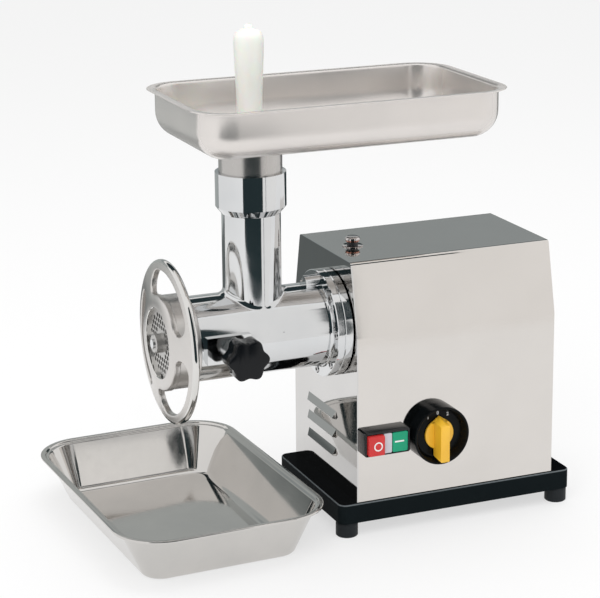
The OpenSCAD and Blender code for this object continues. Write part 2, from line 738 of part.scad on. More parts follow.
module worm() color("#c9cacb") along_x(head_y, head_z) {
    translate([0, 0, worm_front]) linear_extrude(worm_back - worm_front,
        twist = -360 * (worm_back - worm_front) / worm_pitch, slices = 54)
        polygon(concat(arc(0, 0, worm_r, 0, worm_blade, 6),
            arc(0, 0, worm_core_r, worm_blade + 22, 338, 14)));
    translate([0, 0, worm_back - eps]) cylinder(r = worm_core_r, h = 2.5);
    translate([0, 0, worm_back + 2]) cylinder(r = shank_r, h = flange_seam - worm_back - 2 - 1);
    translate([0, 0, flange_seam + 2]) cube([socket_w, socket_w, 12], center = true);
    translate([-square_w / 2, -square_w / 2, knife_front + fit]) cube([square_w, square_w, knife_t]);
    translate([0, 0, stub_front]) cylinder(r = stub_r, h = knife_front - stub_front + 1);
}

module knife() color("#b9babc") along_x(head_y, head_z, knife_front + 0.1) difference() {
    union() {
        cylinder(r = knife_hub_r, h = knife_t - 0.2);
        for (a = [0:90:270]) rotate([0, 0, a]) linear_extrude(knife_t - 0.2)
            polygon([[0, -7], [30, -7.5], [33.2, -6], [33.2, 1], [29, 3], [0, 6.5]]);
    }
    translate([0, 0, knife_t / 2]) cube([square_w + 0.2, square_w + 0.2, 20], center = true);
}

hole_r = 2.25;
hole_pitch = 6;
hole_rows = 5;
hole_rim = 29.8;
hole_hub = 12.4;
plate_boss_r = 9.3;
plate_boss_h = 8;

// Cutting plate with a raised boss, a hexagonal field of holes and a notch for its key.
module perforated_plate() color("#9fa1a4") along_x(head_y, head_z, plate_front) difference() {
    union() {
        cylinder(r = plate_d / 2, h = plate_t);
        translate([0, 0, -plate_boss_h]) disc(plate_boss_r, plate_boss_h + 2, 1);
    }
    translate([0, 0, -plate_boss_h - 1]) cylinder(r = stub_r + 4 * fit, h = plate_boss_h + plate_t + 2);
    for (i = [-hole_rows:hole_rows], j = [-hole_rows:hole_rows]) {
        x = hole_pitch * (i + j / 2);
        y = hole_pitch * j * sin(60);
        r = sqrt(x * x + y * y);
        if (r > hole_hub && r < hole_rim) translate([x, y, -1]) cylinder(r = hole_r, h = plate_t + 2);
    }
    translate([-2.7, -plate_d / 2 - 1, -1]) cube([5.4, 4.5, plate_t + 2]);
}

module plate_key() color("#8a8c8f") translate([barrel_front, head_y - 2.5, head_z - seat_r - 2])
    cube([plate_t - 2, 5, 4.6]);

ring_open_r = [46.5, 69.8];
ring_open_span = 96;
ring_web_at = 171;

// One kidney-shaped finger opening of the ring wheel, centred on the angle given.
module finger_opening(angle) {
    mid = (ring_open_r[0] + ring_open_r[1]) / 2;
    cap = (ring_open_r[1] - ring_open_r[0]) / 2;
    span = ring_open_span / 2 - asin(cap / mid);
    rotate([0, 0, angle]) polygon(concat(
        arc(0, 0, ring_open_r[1], -span, span, 20),
        arc(mid * cos(span), mid * sin(span), cap, span + 15, span + 165, 9),
        arc(0, 0, ring_open_r[0], span, -span, 16),
        arc(mid * cos(span), -mid * sin(span), cap, 195 - span, 345 - span, 9)));
}

module ring_wheel() color("#d9dadb") along_x(head_y, head_z) difference() {
    rotate_extrude($fn = 128) polygon(concat(
        [[ring_bore_r, ring_front], [ring_hub_r - 6, ring_front]],
        [[ring_d / 2 - 3, ring_rim_front - 1]],
        arc(ring_d / 2 - 3, ring_rim_front + 2, 3, -90, 0, 4),
        arc(ring_d / 2 - 3, ring_rim_front + ring_rim_t - 3, 3, 0, 90, 4),
        [[ring_hub_r + 3, ring_web_back], [ring_hub_r, ring_web_back + 3]],
        [[ring_hub_r, ring_rear], [thread_r + 0.08, ring_rear], [thread_r + 0.08, plate_front],
            [ring_bore_r, plate_front]]));
    translate([0, 0, ring_front - 5]) linear_extrude(25) for (k = [0:2])
        finger_opening(ring_web_at + 60 + 120 * k);
}

module knob_collar() color("#d0d2d4") toward_near(knob_x, boss_y - 0.3, head_z)
    tube(10.5, stud_r + fit, knob_collar_l - 0.6);

module knob_stud() color("#b0b2b4") toward_near(knob_x, head_y - worm_bore_d / 2 - 3, head_z)
    cylinder(r = stud_r, h = knob_collar_l + 47 - worm_bore_d / 2 - 3 + knob_l - 6);

module clamp_knob() color("#1f2226") toward_near(knob_x, knob_seat_y, head_z) difference() {
    union() {
        cylinder(r = 13, h = 5);
        translate([0, 0, 4]) linear_extrude(knob_l - 4) polygon([for (a = [0:5:355])
            (knob_d - knob_flute * (1 - cos(knob_lobes * a))) / 2 * [cos(a), sin(a)]]);
    }
    translate([0, 0, -1]) cylinder(r = stud_r, h = knob_l - 5);
}

// ---------------------------------------------------------------- feed tray, pusher and pan

neck_wall = 1.2;

module feed_tray() color("#cdc6bf") translate([tray_x, head_y, tray_bottom_z]) difference() {
    union() {
        swept(tray_l, tray_w, tray_r) difference() {
            polygon(concat([[0, 0]],
                arc(tray_r - tray_rim_w - tray_fillet, tray_fillet, tray_fillet, -90, 0, 8),
                [[tray_r - tray_rim_w, tray_depth - 2], [tray_r, tray_depth - 1.2], [tray_r, tray_depth]],
                [[0, tray_depth]]));
            polygon(concat([[-1, tray_sheet]],
                arc(tray_r - tray_rim_w - tray_fillet, tray_fillet, tray_fillet - tray_sheet, -90, 0, 8),
                [[tray_r - tray_rim_w - tray_sheet, tray_depth + 1], [-1, tray_depth + 1]]));
        }
        translate([0, 0, tray_sheet / 2])
            cube([tray_l - 2 * tray_r, tray_w - 2 * tray_r, tray_sheet], center = true);
    }
    translate([-tray_offset, 0, -1]) cylinder(r = neck_d / 2 - neck_wall, h = 4);
}

module tray_neck() color("#b5b3b0") translate([-throat_x, head_y, collar_bottom + 0.3])
    tube(neck_d / 2, neck_d / 2 - neck_wall, tray_bottom_z - collar_bottom - 0.3);

pusher_flange_z = tray_bottom_z + tray_sheet + 0.3;
pusher_bottom = head_z + worm_bore_d / 2 + 24;

// Plastic pusher: a body that fills the throat, a stop flange and a slim handle with a nipple.
module pusher() color("#e8eae2") translate([-throat_x, head_y, 0]) rotate_extrude() polygon(concat(
    [[0, pusher_bottom], [pusher_d / 2 - 3, pusher_bottom], [pusher_d / 2, pusher_bottom + 3]],
    [[pusher_d / 2, pusher_flange_z], [33.5, pusher_flange_z], [33.5, pusher_flange_z + 5]],
    [[20, pusher_flange_z + 8], [12.2, pusher_flange_z + 20], [12.2, tray_rim_z - 6]],
    [[14.2, pusher_top - 20], [14.2, pusher_top - 14]], arc(6.2, pusher_top - 12.6, 8, 0, 80, 6),
    [[4.4, pusher_top - 4.5], [4.2, pusher_top - 1.5], [2.8, pusher_top], [0, pusher_top]]));

module catch_pan() color("#cfcfcf") translate([pan_x, pan_y, 0]) rotate([0, 0, pan_turn]) {
    foot_run = pan_r - pan_rim_w - pan_draft;
    swept(pan_l, pan_w, pan_r) difference() {
        polygon([[0, 0], [foot_run - 5, 0], [foot_run - 1.5, 1.5], [foot_run, 4],
            [pan_r - pan_rim_w, pan_h - 3], [pan_r - 0.5, pan_h - 3], [pan_r, pan_h - 2],
            [pan_r - 0.5, pan_h], [0, pan_h]]);
        polygon([[-1, pan_sheet], [foot_run - 5.5, pan_sheet], [foot_run - 2.5, 2.3], [foot_run - 1, 4.5],
            [pan_r - pan_rim_w - 1, pan_h - 1.5], [pan_r - pan_rim_w - 1, pan_h + 1], [-1, pan_h + 1]]);
    }
    translate([0, 0, pan_sheet / 2]) cube([pan_l - 2 * pan_r, pan_w - 2 * pan_r, pan_sheet], center = true);
}

// ---------------------------------------------------------------- controls

window_depth = 8;
cap_depth = 4.5;
front_y = wall_y - box_depth;
window_z = box_z + 1.6;

// A block in the switch box's front, from depth behind its face to rise in front of it.
module window_block(x, l, depth, rise, trim = 0)
    translate([x + trim, front_y - rise, window_z + trim])
        cube([l - 2 * trim, depth + rise, button_h - 2 * trim]);

module switch_box() color("#26292d") difference() {
    translate([box_x + box_l / 2, wall_y, box_z + box_h / 2]) rotate([90, 0, 0]) {
        linear_extrude(box_depth) rounded_rect(box_l, box_h, 2);
        translate([0, 0, -20]) linear_extrude(20 + eps) square([box_l - 11, box_h - 9], center = true);
    }
    window_block(stop_x - 0.2, start_x + start_l - stop_x + 0.4, window_depth, 1, -0.2);
}

module stop_button() color("#d63c3c") window_block(stop_x, stop_l, cap_depth, 4, 0.1);

module start_button() color("#19a073") window_block(start_x, start_l, cap_depth, 0.5, 0.1);

module pilot_lens() color("#c8c6cd") window_block(lens_x, lens_l, window_depth, 0.2);

lever_hole_r = 4;

module selector_housing() color("#1d1f22") toward_near(selector_x, wall_y, selector_z) difference() {
    union() {
        cylinder(r1 = selector_r + 0.2, r2 = selector_r, h = selector_depth - 1);
        translate([0, 0, selector_depth - 1 - eps]) cylinder(r1 = selector_r, r2 = selector_r - 1, h = 1);
        translate([0, 0, -3]) cylinder(r = 11.8, h = 3 + eps);
    }
    translate([0, 0, selector_depth - dish_depth])
        cylinder(r1 = selector_r - 5.5, r2 = selector_r - 2, h = dish_depth + eps);
    translate([0, 0, -4]) cylinder(r = lever_hole_r + fit, h = selector_depth + 5);
}

// Pointer lever: a disc with a raised bar whose upper end is bevelled to a point.
module selector_lever() color("#eeb02e") toward_near(selector_x, wall_y, selector_z) {
    dish_floor = selector_depth - dish_depth;
    half_bar = lever_w / 2;
    shoulder = lever_reach - 6.5;
    translate([0, 0, dish_floor + 0.3]) cylinder(r = lever_disc_r, h = 2);
    hull() {
        translate([0, 0, dish_floor + 1.3]) linear_extrude(4) polygon([
            [-half_bar, -lever_reach + 1], [half_bar, -lever_reach + 1], [half_bar, shoulder],
            [0, lever_reach], [-half_bar, shoulder]]);
        translate([-half_bar, -lever_reach - 2, selector_depth + lever_rise - 1])
            cube([lever_w, lever_reach + 14, 1]);
    }
    translate([0, 0, -12]) cylinder(r = lever_hole_r, h = selector_depth);
}

module selector_cam_block() color("#3a3a3a")
    toward_near(selector_x, wall_y + 3.2, selector_z) mirror([0, 0, 1]) difference() {
        translate([-16, -16, 0]) cube([32, 32, 20]);
        translate([0, 0, -1]) cylinder(r = lever_hole_r + fit, h = 30);
    }

// ---------------------------------------------------------------- nodes

place() base_plate();
place() foot(foot_x[0], -foot_y);  // foot_front_near
place() foot(foot_x[0], foot_y);  // foot_front_far
place() foot(foot_x[1], -foot_y);  // foot_rear_near
place() foot(foot_x[1], foot_y);  // foot_rear_far
place() foot_screws();
place() housing_wrap();
place() front_panel();
place() rear_panel();
place() rear_panel_screws();
place() housing_screws();
place() vent_plug();
place() cable_gland();
place() gearbox_case();
place() gearbox_cover();
place() gearbox_cover_screws();
place() output_bearing_front();
place() output_bearing_rear();
place() idler_bearings();
place() rotor_bearings();
place() shaft_seal();
place() output_shaft();
place() output_gear();
place() idler_shaft();
place() idler_gear();
place() motor_frame();
place() stator_core();
place() stator_windings();
place() motor_rear_bell();
place() motor_tie_bolts();
place() rotor_shaft();
place() rotor_core();
place() cooling_fan();
place() motor_cradle();
place() run_capacitor();
place() capacitor_clip();
place() head_casting();
place() head_bolts();
place() worm_bush();
place() worm();
place() knife();
place() perforated_plate();
place() plate_key();
place() ring_wheel();
place() knob_collar();
place() knob_stud();
place() clamp_knob();
place() feed_tray();
place() tray_neck();
place() pusher();
place() catch_pan();
place() switch_box();
place() stop_button();
place() start_button();
place() pilot_lens();
place() selector_housing();
place() selector_lever();
place() selector_cam_block();
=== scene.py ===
"""Looks of a bench-top electric meat grinder: polished head, satin housing, feed tray and pan."""

import json
import logging
import math
from collections.abc import Callable, Iterable, Sequence
from dataclasses import dataclass
from enum import Enum

import bmesh
import bpy
from mathutils import Matrix, Vector
from mathutils.geometry import delaunay_2d_cdt

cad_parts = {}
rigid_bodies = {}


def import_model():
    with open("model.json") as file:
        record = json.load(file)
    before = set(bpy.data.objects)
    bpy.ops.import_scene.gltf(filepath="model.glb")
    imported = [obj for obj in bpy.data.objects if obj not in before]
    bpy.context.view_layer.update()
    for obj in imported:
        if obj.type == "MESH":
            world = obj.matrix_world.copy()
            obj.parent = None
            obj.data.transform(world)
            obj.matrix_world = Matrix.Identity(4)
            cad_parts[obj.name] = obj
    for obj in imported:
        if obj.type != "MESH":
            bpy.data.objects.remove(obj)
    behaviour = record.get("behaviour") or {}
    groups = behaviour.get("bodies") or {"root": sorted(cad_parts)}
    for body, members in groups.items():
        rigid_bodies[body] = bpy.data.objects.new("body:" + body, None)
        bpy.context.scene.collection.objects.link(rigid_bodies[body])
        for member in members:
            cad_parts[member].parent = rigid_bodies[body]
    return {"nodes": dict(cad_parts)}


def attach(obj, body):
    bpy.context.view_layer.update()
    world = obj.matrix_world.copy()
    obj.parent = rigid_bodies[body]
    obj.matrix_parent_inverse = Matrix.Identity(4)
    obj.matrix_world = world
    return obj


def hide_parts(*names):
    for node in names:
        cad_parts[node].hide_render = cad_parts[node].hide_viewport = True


for stray in list(bpy.data.objects):
    bpy.data.objects.remove(stray)
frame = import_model()

log = logging.getLogger("grinder")
Colour = tuple[float, float, float]
Ring = list[Vector]
Bands = Sequence[tuple[float, Colour]]
MM = 0.001
# Middle of the whole machine's footprint, pan included, in machine millimetres: the row frame starts there.
ORIGIN = (-11.06440526718985, 25.0)
PICTURE = (600, 598)
# Axis of the barrel, the worm and the ring wheel, in machine millimetres.
HEAD_Y = -21.0
HEAD_Z = 206.0


def spot(x: float, y: float, z: float) -> Vector:
    """Turns machine millimetres (X from the housing front, Z from the floor) into the row frame.

    Args:
        x: Distance behind the housing's front face.
        y: Distance from the housing's middle plane.
        z: Height above the floor.

    Returns:
        The same point in metres.
    """
    return Vector(((x - ORIGIN[0]) * MM, (y - ORIGIN[1]) * MM, z * MM))


class Facing(Enum):
    """Directions that a turned or stacked piece grows in, as (local X, local Y, local Z)."""

    REAR = (Vector((0, 1, 0)), Vector((0, 0, 1)), Vector((1, 0, 0)))
    NEAR = (Vector((1, 0, 0)), Vector((0, 0, 1)), Vector((0, -1, 0)))
    UP = (Vector((1, 0, 0)), Vector((0, 1, 0)), Vector((0, 0, 1)))

    def place(self, centre: Vector, x: float, y: float, z: float) -> Vector:
        """Gives the row-frame point at local (x, y, z) millimetres from a centre."""
        across, up, out = self.value
        return centre + (across * x + up * y + out * z) * MM


# ------------------------------------------------------------------ mesh helpers


def circle(radius: float, count: int) -> list[tuple[float, float]]:
    """Gives the points of a circle, in millimetres."""
    angles = [math.tau * i / count for i in range(count)]
    return [(radius * math.cos(a), radius * math.sin(a)) for a in angles]


def rounded_box(length: float, width: float, radius: float, steps: int = 5) -> list[tuple[float, float]]:
    """Gives the outline of a rectangle with round corners.

    Args:
        length: Size along the first axis.
        width: Size along the second axis.
        radius: Corner radius.
        steps: Segments in each corner.

    Returns:
        Points that run anticlockwise.
    """
    points = []
    for quarter, (sx, sy) in enumerate(((1, 1), (-1, 1), (-1, -1), (1, -1))):
        cx, cy = sx * (length / 2 - radius), sy * (width / 2 - radius)
        for i in range(steps + 1):
            angle = math.pi / 2 * (quarter + i / steps)
            points.append((cx + radius * math.cos(angle), cy + radius * math.sin(angle)))
    return points


def skin(rings: Sequence[Ring], start_cap: bool = True, end_cap: bool = True) -> bmesh.types.BMesh:
    """Joins a row of closed rings with quads.

    Args:
        rings: Rings with the same number of points, in order.
        start_cap: Whether the first ring is closed with a face.
        end_cap: Whether the last ring is closed with a face.

    Returns:
        The new mesh, with faces pointing outwards.
    """
    bm = bmesh.new()
    rows = [[bm.verts.new(p) for p in ring] for ring in rings]
    count = len(rings[0])
    for low, high in zip(rows, rows[1:]):
        for i in range(count):
            j = (i + 1) % count
            bm.faces.new((low[i], low[j], high[j], high[i]))
    if start_cap:
        bm.faces.new(list(reversed(rows[0])))
    if end_cap:
        bm.faces.new(rows[-1])
    bmesh.ops.remove_doubles(bm, verts=bm.verts, dist=1e-6)
    bmesh.ops.recalc_face_normals(bm, faces=bm.faces)
    return bm


def finish_mesh(
    name: str, bm: bmesh.types.BMesh, materials: Sequence[bpy.types.Material], crease: float = 32.0
) -> bpy.types.Object:
    """Turns a bmesh into a piece with smooth faces and sharp creases.

    Args:
        name: Name of the piece.
        bm: Mesh in the row frame, freed here.
        materials: Materials in slot order.
        crease: Angle in degrees above which an edge stays sharp.

    Returns:
        The linked object.
    """
    mesh = bpy.data.meshes.new(name)
    bm.to_mesh(mesh)
    bm.free()
    for polygon in mesh.polygons:
        polygon.use_smooth = True
    mesh.set_sharp_from_angle(angle=math.radians(crease))
    for material in materials:
        mesh.materials.append(material)
    piece = bpy.data.objects.new(name, mesh)
    bpy.context.scene.collection.objects.link(piece)
    return piece


def turned(
    centre: Vector, facing: Facing, profile: Sequence[tuple[float, float]], count: int = 96,
    start_cap: bool = True, end_cap: bool = True
) -> bmesh.types.BMesh:
    """Turns a profile of (radius, height) millimetres round an axis.

    Args:
        centre: Point on the axis at height 0.
        facing: Direction of the axis.
        profile: Radii and heights, in order.
        count: Segments round the axis.
        start_cap: Whether the first ring is closed.
        end_cap: Whether the last ring is closed.

    Returns:
        The turned mesh.
    """
    rings = [[facing.place(centre, x, y, h) for x, y in circle(max(r, 0.01), count)] for r, h in profile]
    return skin(rings, start_cap, end_cap)


def stacked(
    centre: Vector, facing: Facing, outline: Callable[[float], list[tuple[float, float]]],
    levels: Sequence[tuple[float, float]], start_cap: bool = True, end_cap: bool = True
) -> bmesh.types.BMesh:
    """Stacks an outline at several heights, drawn in by a different inset at each.

    Args:
        centre: Point that the outline is measured from.
        facing: Direction of the stack.
        outline: Gives the outline's points for an inset in millimetres.
        levels: Pairs of inset and height.
        start_cap: Whether the first outline is closed.
        end_cap: Whether the last outline is closed.

    Returns:
        The stacked mesh.
    """
    rings = [[facing.place(centre, x, y, h) for x, y in outline(inset)] for inset, h in levels]
    return skin(rings, start_cap, end_cap)


def rounded_edge(radius: float, height: float, steps: int = 4) -> list[tuple[float, float]]:
    """Gives (inset, height) levels of a rounded upper edge that ends at a height."""
    angles = [math.pi / 2 * i / steps for i in range(steps + 1)]
    return [(radius * (1 - math.cos(a)), height - radius * (1 - math.sin(a))) for a in angles]


def joined(first: bmesh.types.BMesh, *others: bmesh.types.BMesh) -> bmesh.types.BMesh:
    """Adds the faces of other meshes to the first, keeping them as separate shells."""
    for other in others:
        scratch = bpy.data.meshes.new("scratch")
        other.to_mesh(scratch)
        other.free()
        first.from_mesh(scratch)
        bpy.data.meshes.remove(scratch)
    return first


# ------------------------------------------------------------------ shader helpers


class Wiring:
    """Adds nodes to one shader tree and joins their sockets."""

    def __init__(self, tree: bpy.types.NodeTree) -> None:
        """Keeps the tree that nodes are added to."""
        self.tree = tree

    def add(
        self, kind: str, inputs: dict[str | int, object] | None = None, **settings: object
    ) -> bpy.types.Node:
        """Adds a node, sets its properties and feeds its inputs.

        Args:
            kind: Blender's name of the node type.
            inputs: Values or output sockets by input name or number.
            **settings: Properties of the node.

        Returns:
            The new node.
        """
        node = self.tree.nodes.new(kind)
        for key, value in settings.items():
            setattr(node, key, value)
        for key, value in (inputs or {}).items():
            if isinstance(value, bpy.types.NodeSocket):
                self.tree.links.new(value, node.inputs[key])
            else:
                node.inputs[key].default_value = value
        return node

    def group(self, tree: bpy.types.NodeTree, inputs: dict[str, object]) -> bpy.types.Node:
        """Places a shader group and feeds its inputs.

        Args:
            tree: The group's tree.
            inputs: Values or output sockets by input name.

        Returns:
            The new group node.
        """
        return self.add("ShaderNodeGroup", inputs, node_tree=tree)


def new_group(
    name: str, inputs: dict[str, tuple[str, object]], outputs: dict[str, str]
) -> tuple[Wiring, bpy.types.Node, bpy.types.Node]:
    """Starts a shader group with named sockets.

    Args:
        name: Name of the group.
        inputs: Socket type and default by input name.
        outputs: Socket type by output name.

    Returns:
        The wiring of the group, its input node and its output node.
    """
    tree = bpy.data.node_groups.new(name, "ShaderNodeTree")
    for key, (kind, default) in inputs.items():
        socket = tree.interface.new_socket(name=key, in_out="INPUT", socket_type=kind)
        if default is not None:
            socket.default_value = default
    for key, kind in outputs.items():
        tree.interface.new_socket(name=key, in_out="OUTPUT", socket_type=kind)
    wiring = Wiring(tree)
    return wiring, tree.nodes.new("NodeGroupInput"), tree.nodes.new("NodeGroupOutput")


class Effects:
    """Shader groups that several finishes share, each built once."""

    def __init__(self) -> None:
        """Builds every group."""
        self.grain = self._grain()
        self.turning = self._turning()
        self.clouds = self._clouds()
        self.pits = self._pits()

    @staticmethod
    def _grain() -> bpy.types.NodeTree:
        """Builds fine scratches that run along one axis."""
        w, given, result = new_group(
            "straight_grain",
            {
                "Vector": ("NodeSocketVector", None), "Stretch": ("NodeSocketVector", (1, 1, 1)),
                "Scale": ("NodeSocketFloat", 900.0)
            },
            {"Height": "NodeSocketFloat", "Tone": "NodeSocketFloat"},
        )
        mapped = w.add(
            "ShaderNodeMapping", {"Vector": given.outputs["Vector"], "Scale": given.outputs["Stretch"]}
        )
        fine = w.add(
            "ShaderNodeTexNoise",
            {"Vector": mapped.outputs[0], "Scale": given.outputs["Scale"], "Detail": 2.0, "Roughness": 0.6}
        )
        broad_scale = w.add("ShaderNodeMath", {0: given.outputs["Scale"], 1: 0.12}, operation="MULTIPLY")
        broad = w.add(
            "ShaderNodeTexNoise",
            {"Vector": mapped.outputs[0], "Scale": broad_scale.outputs[0], "Detail": 1.0}
        )
        w.tree.links.new(fine.outputs[0], result.inputs["Height"])
        w.tree.links.new(broad.outputs[0], result.inputs["Tone"])
        return w.tree

    @staticmethod
    def _turning() -> bpy.types.NodeTree:
        """Builds the fine rings that a lathe leaves round an axis along X."""
        w, given, result = new_group(
            "lathe_rings",
            {
                "Vector": ("NodeSocketVector", None), "Centre": ("NodeSocketVector", (0, 0, 0)),
                "Scale": ("NodeSocketFloat", 1500.0)
            },
            {"Height": "NodeSocketFloat", "Tone": "NodeSocketFloat"},
        )
        moved = w.add(
            "ShaderNodeVectorMath", {0: given.outputs["Vector"], 1: given.outputs["Centre"]},
            operation="SUBTRACT"
        )
        flat = w.add("ShaderNodeVectorMath", {0: moved.outputs[0], 1: (0.0, 1.0, 1.0)}, operation="MULTIPLY")
        radius = w.add("ShaderNodeVectorMath", {0: flat.outputs[0]}, operation="LENGTH")
        along = w.add("ShaderNodeSeparateXYZ", {0: moved.outputs[0]})
        where = w.add("ShaderNodeCombineXYZ", {0: radius.outputs["Value"], 1: along.outputs[0]})
        fine = w.add(
            "ShaderNodeTexNoise", {"Vector": where.outputs[0], "Scale": given.outputs["Scale"], "Detail": 1.0}
        )
        soft = w.add("ShaderNodeTexNoise", {"Vector": given.outputs["Vector"], "Scale": 60.0, "Detail": 2.0})
        w.tree.links.new(fine.outputs[0], result.inputs["Height"])
        w.tree.links.new(soft.outputs[0], result.inputs["Tone"])
        return w.tree

    @staticmethod
    def _clouds() -> bpy.types.NodeTree:
        """Builds a slow change between two colours."""
        w, given, result = new_group(
            "slow_clouds",
            {
                "Vector": ("NodeSocketVector", None), "Scale": ("NodeSocketFloat", 12.0),
                "Light": ("NodeSocketColor", (1, 1, 1, 1)), "Dark": ("NodeSocketColor", (0.5, 0.5, 0.5, 1))
            },
            {"Color": "NodeSocketColor", "Tone": "NodeSocketFloat"},
        )
        noise = w.add(
            "ShaderNodeTexNoise",
            {
                "Vector": given.outputs["Vector"], "Scale": given.outputs["Scale"],
                "Detail": 3.0, "Roughness": 0.55
            }
        )
        spread = w.add("ShaderNodeMapRange", {"Value": noise.outputs[0], "From Min": 0.3, "From Max": 0.7})
        mixed = w.add("ShaderNodeMix", data_type="RGBA")
        w.tree.links.new(spread.outputs[0], mixed.inputs["Factor"])
        w.tree.links.new(given.outputs["Dark"], mixed.inputs[6])
        w.tree.links.new(given.outputs["Light"], mixed.inputs[7])
        w.tree.links.new(mixed.outputs[2], result.inputs["Color"])
        w.tree.links.new(spread.outputs[0], result.inputs["Tone"])
        return w.tree

    @staticmethod
    def _pits() -> bpy.types.NodeTree:
        """Builds sparse dark pinholes, as a cast or handled surface has."""
        w, given, result = new_group(
            "pinholes",
            {
                "Vector": ("NodeSocketVector", None), "Scale": ("NodeSocketFloat", 60.0),
                "Size": ("NodeSocketFloat", 0.04)
            },
            {"Mask": "NodeSocketFloat"},
        )
        cells = w.add(
            "ShaderNodeTexVoronoi",
            {"Vector": given.outputs["Vector"], "Scale": given.outputs["Scale"], "Randomness": 1.0}
        )
        thin = w.add(
            "ShaderNodeMath", {0: cells.outputs["Distance"], 1: given.outputs["Size"]}, operation="LESS_THAN"
        )
        w.tree.links.new(thin.outputs[0], result.inputs["Mask"])
        return w.tree


EFFECTS = Effects()
# Materials built so far, by the name of their finish.
MIXED: dict[str, bpy.types.Material] = {}


def new_finish(name: str) -> tuple[bpy.types.Material, Wiring, bpy.types.Node]:
    """Starts a material and keeps it in MIXED, so that every piece shares it.

    Args:
        name: Name of the finish.

    Returns:
        The material, its wiring and its Principled shader.
    """
    material = MIXED[name] = bpy.data.materials.new(name)
    material.use_nodes = True
    tree = material.node_tree
    return material, Wiring(tree), tree.nodes["Principled BSDF"]


class Grain(Enum):
    """Ways in which a metal was brushed, as the stretch of its grain."""

    NONE = (1.0, 1.0, 1.0)
    ALONG_X = (0.03, 1.0, 1.0)
    ALONG_Y = (1.0, 0.03, 1.0)
    ALONG_Z = (1.0, 1.0, 0.03)
    TURNED = (0.0, 0.0, 0.0)


@dataclass(frozen=True)
class Metal:
    """A bare metal finish with grain, slow tone changes and a slightly uneven surface.

    Attributes:
        name: Name of the material.
        light: Colour where the metal is lightest.
        dark: Colour where it is darkest.
        smooth: Roughness where it is smoothest.
        rough: Roughness where it is roughest.
        grain: Way it was brushed.
        grain_scale: Fineness of the grain.
        grain_depth: Depth of the grain in metres, 0 for none.
        wave: Depth of the slow swell in metres, 0 for none.
        wave_scale: Fineness of the swell.
        pits: Size of the pinholes, 0 for none.
        metallic: Share of bare metal.
        centre: Point on the axis of turned grain, in metres.
    """

    name: str
    light: Colour
    dark: Colour
    smooth: float
    rough: float
    grain: Grain = Grain.NONE
    grain_scale: float = 900.0
    grain_depth: float = 0.0
    wave: float = 0.0
    wave_scale: float = 18.0
    pits: float = 0.0
    metallic: float = 1.0
    centre: tuple[float, float, float] = (0.0, 0.0, 0.0)

    def material(self) -> bpy.types.Material:
        """Builds the finish once and returns it again when asked.

        Returns:
            The procedural material.
        """
        if self.name in MIXED:
            return MIXED[self.name]
        material, w, shader = new_finish(self.name)
        tree = material.node_tree
        shader.inputs["Metallic"].default_value = self.metallic
        where = w.add("ShaderNodeTexCoord").outputs["Object"]
        if self.grain is Grain.TURNED:
            marks = w.group(
                EFFECTS.turning, {"Vector": where, "Centre": self.centre, "Scale": self.grain_scale}
            )
        else:
            marks = w.group(
                EFFECTS.grain, {"Vector": where, "Stretch": self.grain.value, "Scale": self.grain_scale}
            )
        clouds = w.group(
            EFFECTS.clouds,
            {"Vector": where, "Scale": 14.0, "Light": (*self.light, 1), "Dark": (*self.dark, 1)}
        )
        tone = w.add(
            "ShaderNodeMath", {0: clouds.outputs["Tone"], 1: marks.outputs["Tone"]}, operation="MULTIPLY"
        )
        gloss = w.add(
            "ShaderNodeMapRange",
            {
                "Value": tone.outputs[0], "From Min": 0.1, "From Max": 0.6,
                "To Min": self.smooth, "To Max": self.rough
            }
        )
        tree.links.new(gloss.outputs[0], shader.inputs["Roughness"])
        colour = clouds.outputs["Color"]
        if self.pits:
            pits = w.group(EFFECTS.pits, {"Vector": where, "Scale": 55.0, "Size": self.pits})
            spotted = w.add("ShaderNodeMix", data_type="RGBA")
            tree.links.new(pits.outputs["Mask"], spotted.inputs["Factor"])
            tree.links.new(colour, spotted.inputs[6])
            spotted.inputs[7].default_value = (*[c * 0.35 for c in self.dark], 1)
            colour = spotted.outputs[2]
        tree.links.new(colour, shader.inputs["Base Color"])
        normal = None
        if self.wave:
            swell = w.add("ShaderNodeTexNoise", {"Vector": where, "Scale": self.wave_scale, "Detail": 1.0})
            normal = w.add(
                "ShaderNodeBump", {"Height": swell.outputs[0], "Strength": 1.0, "Distance": self.wave}
            ).outputs[0]
        if self.grain_depth:
            fine = w.add(
                "ShaderNodeBump",
                {"Height": marks.outputs["Height"], "Strength": 1.0, "Distance": self.grain_depth}
            )
            if normal is not None:
                tree.links.new(normal, fine.inputs["Normal"])
            normal = fine.outputs[0]
        if normal is not None:
            tree.links.new(normal, shader.inputs["Normal"])
        return material


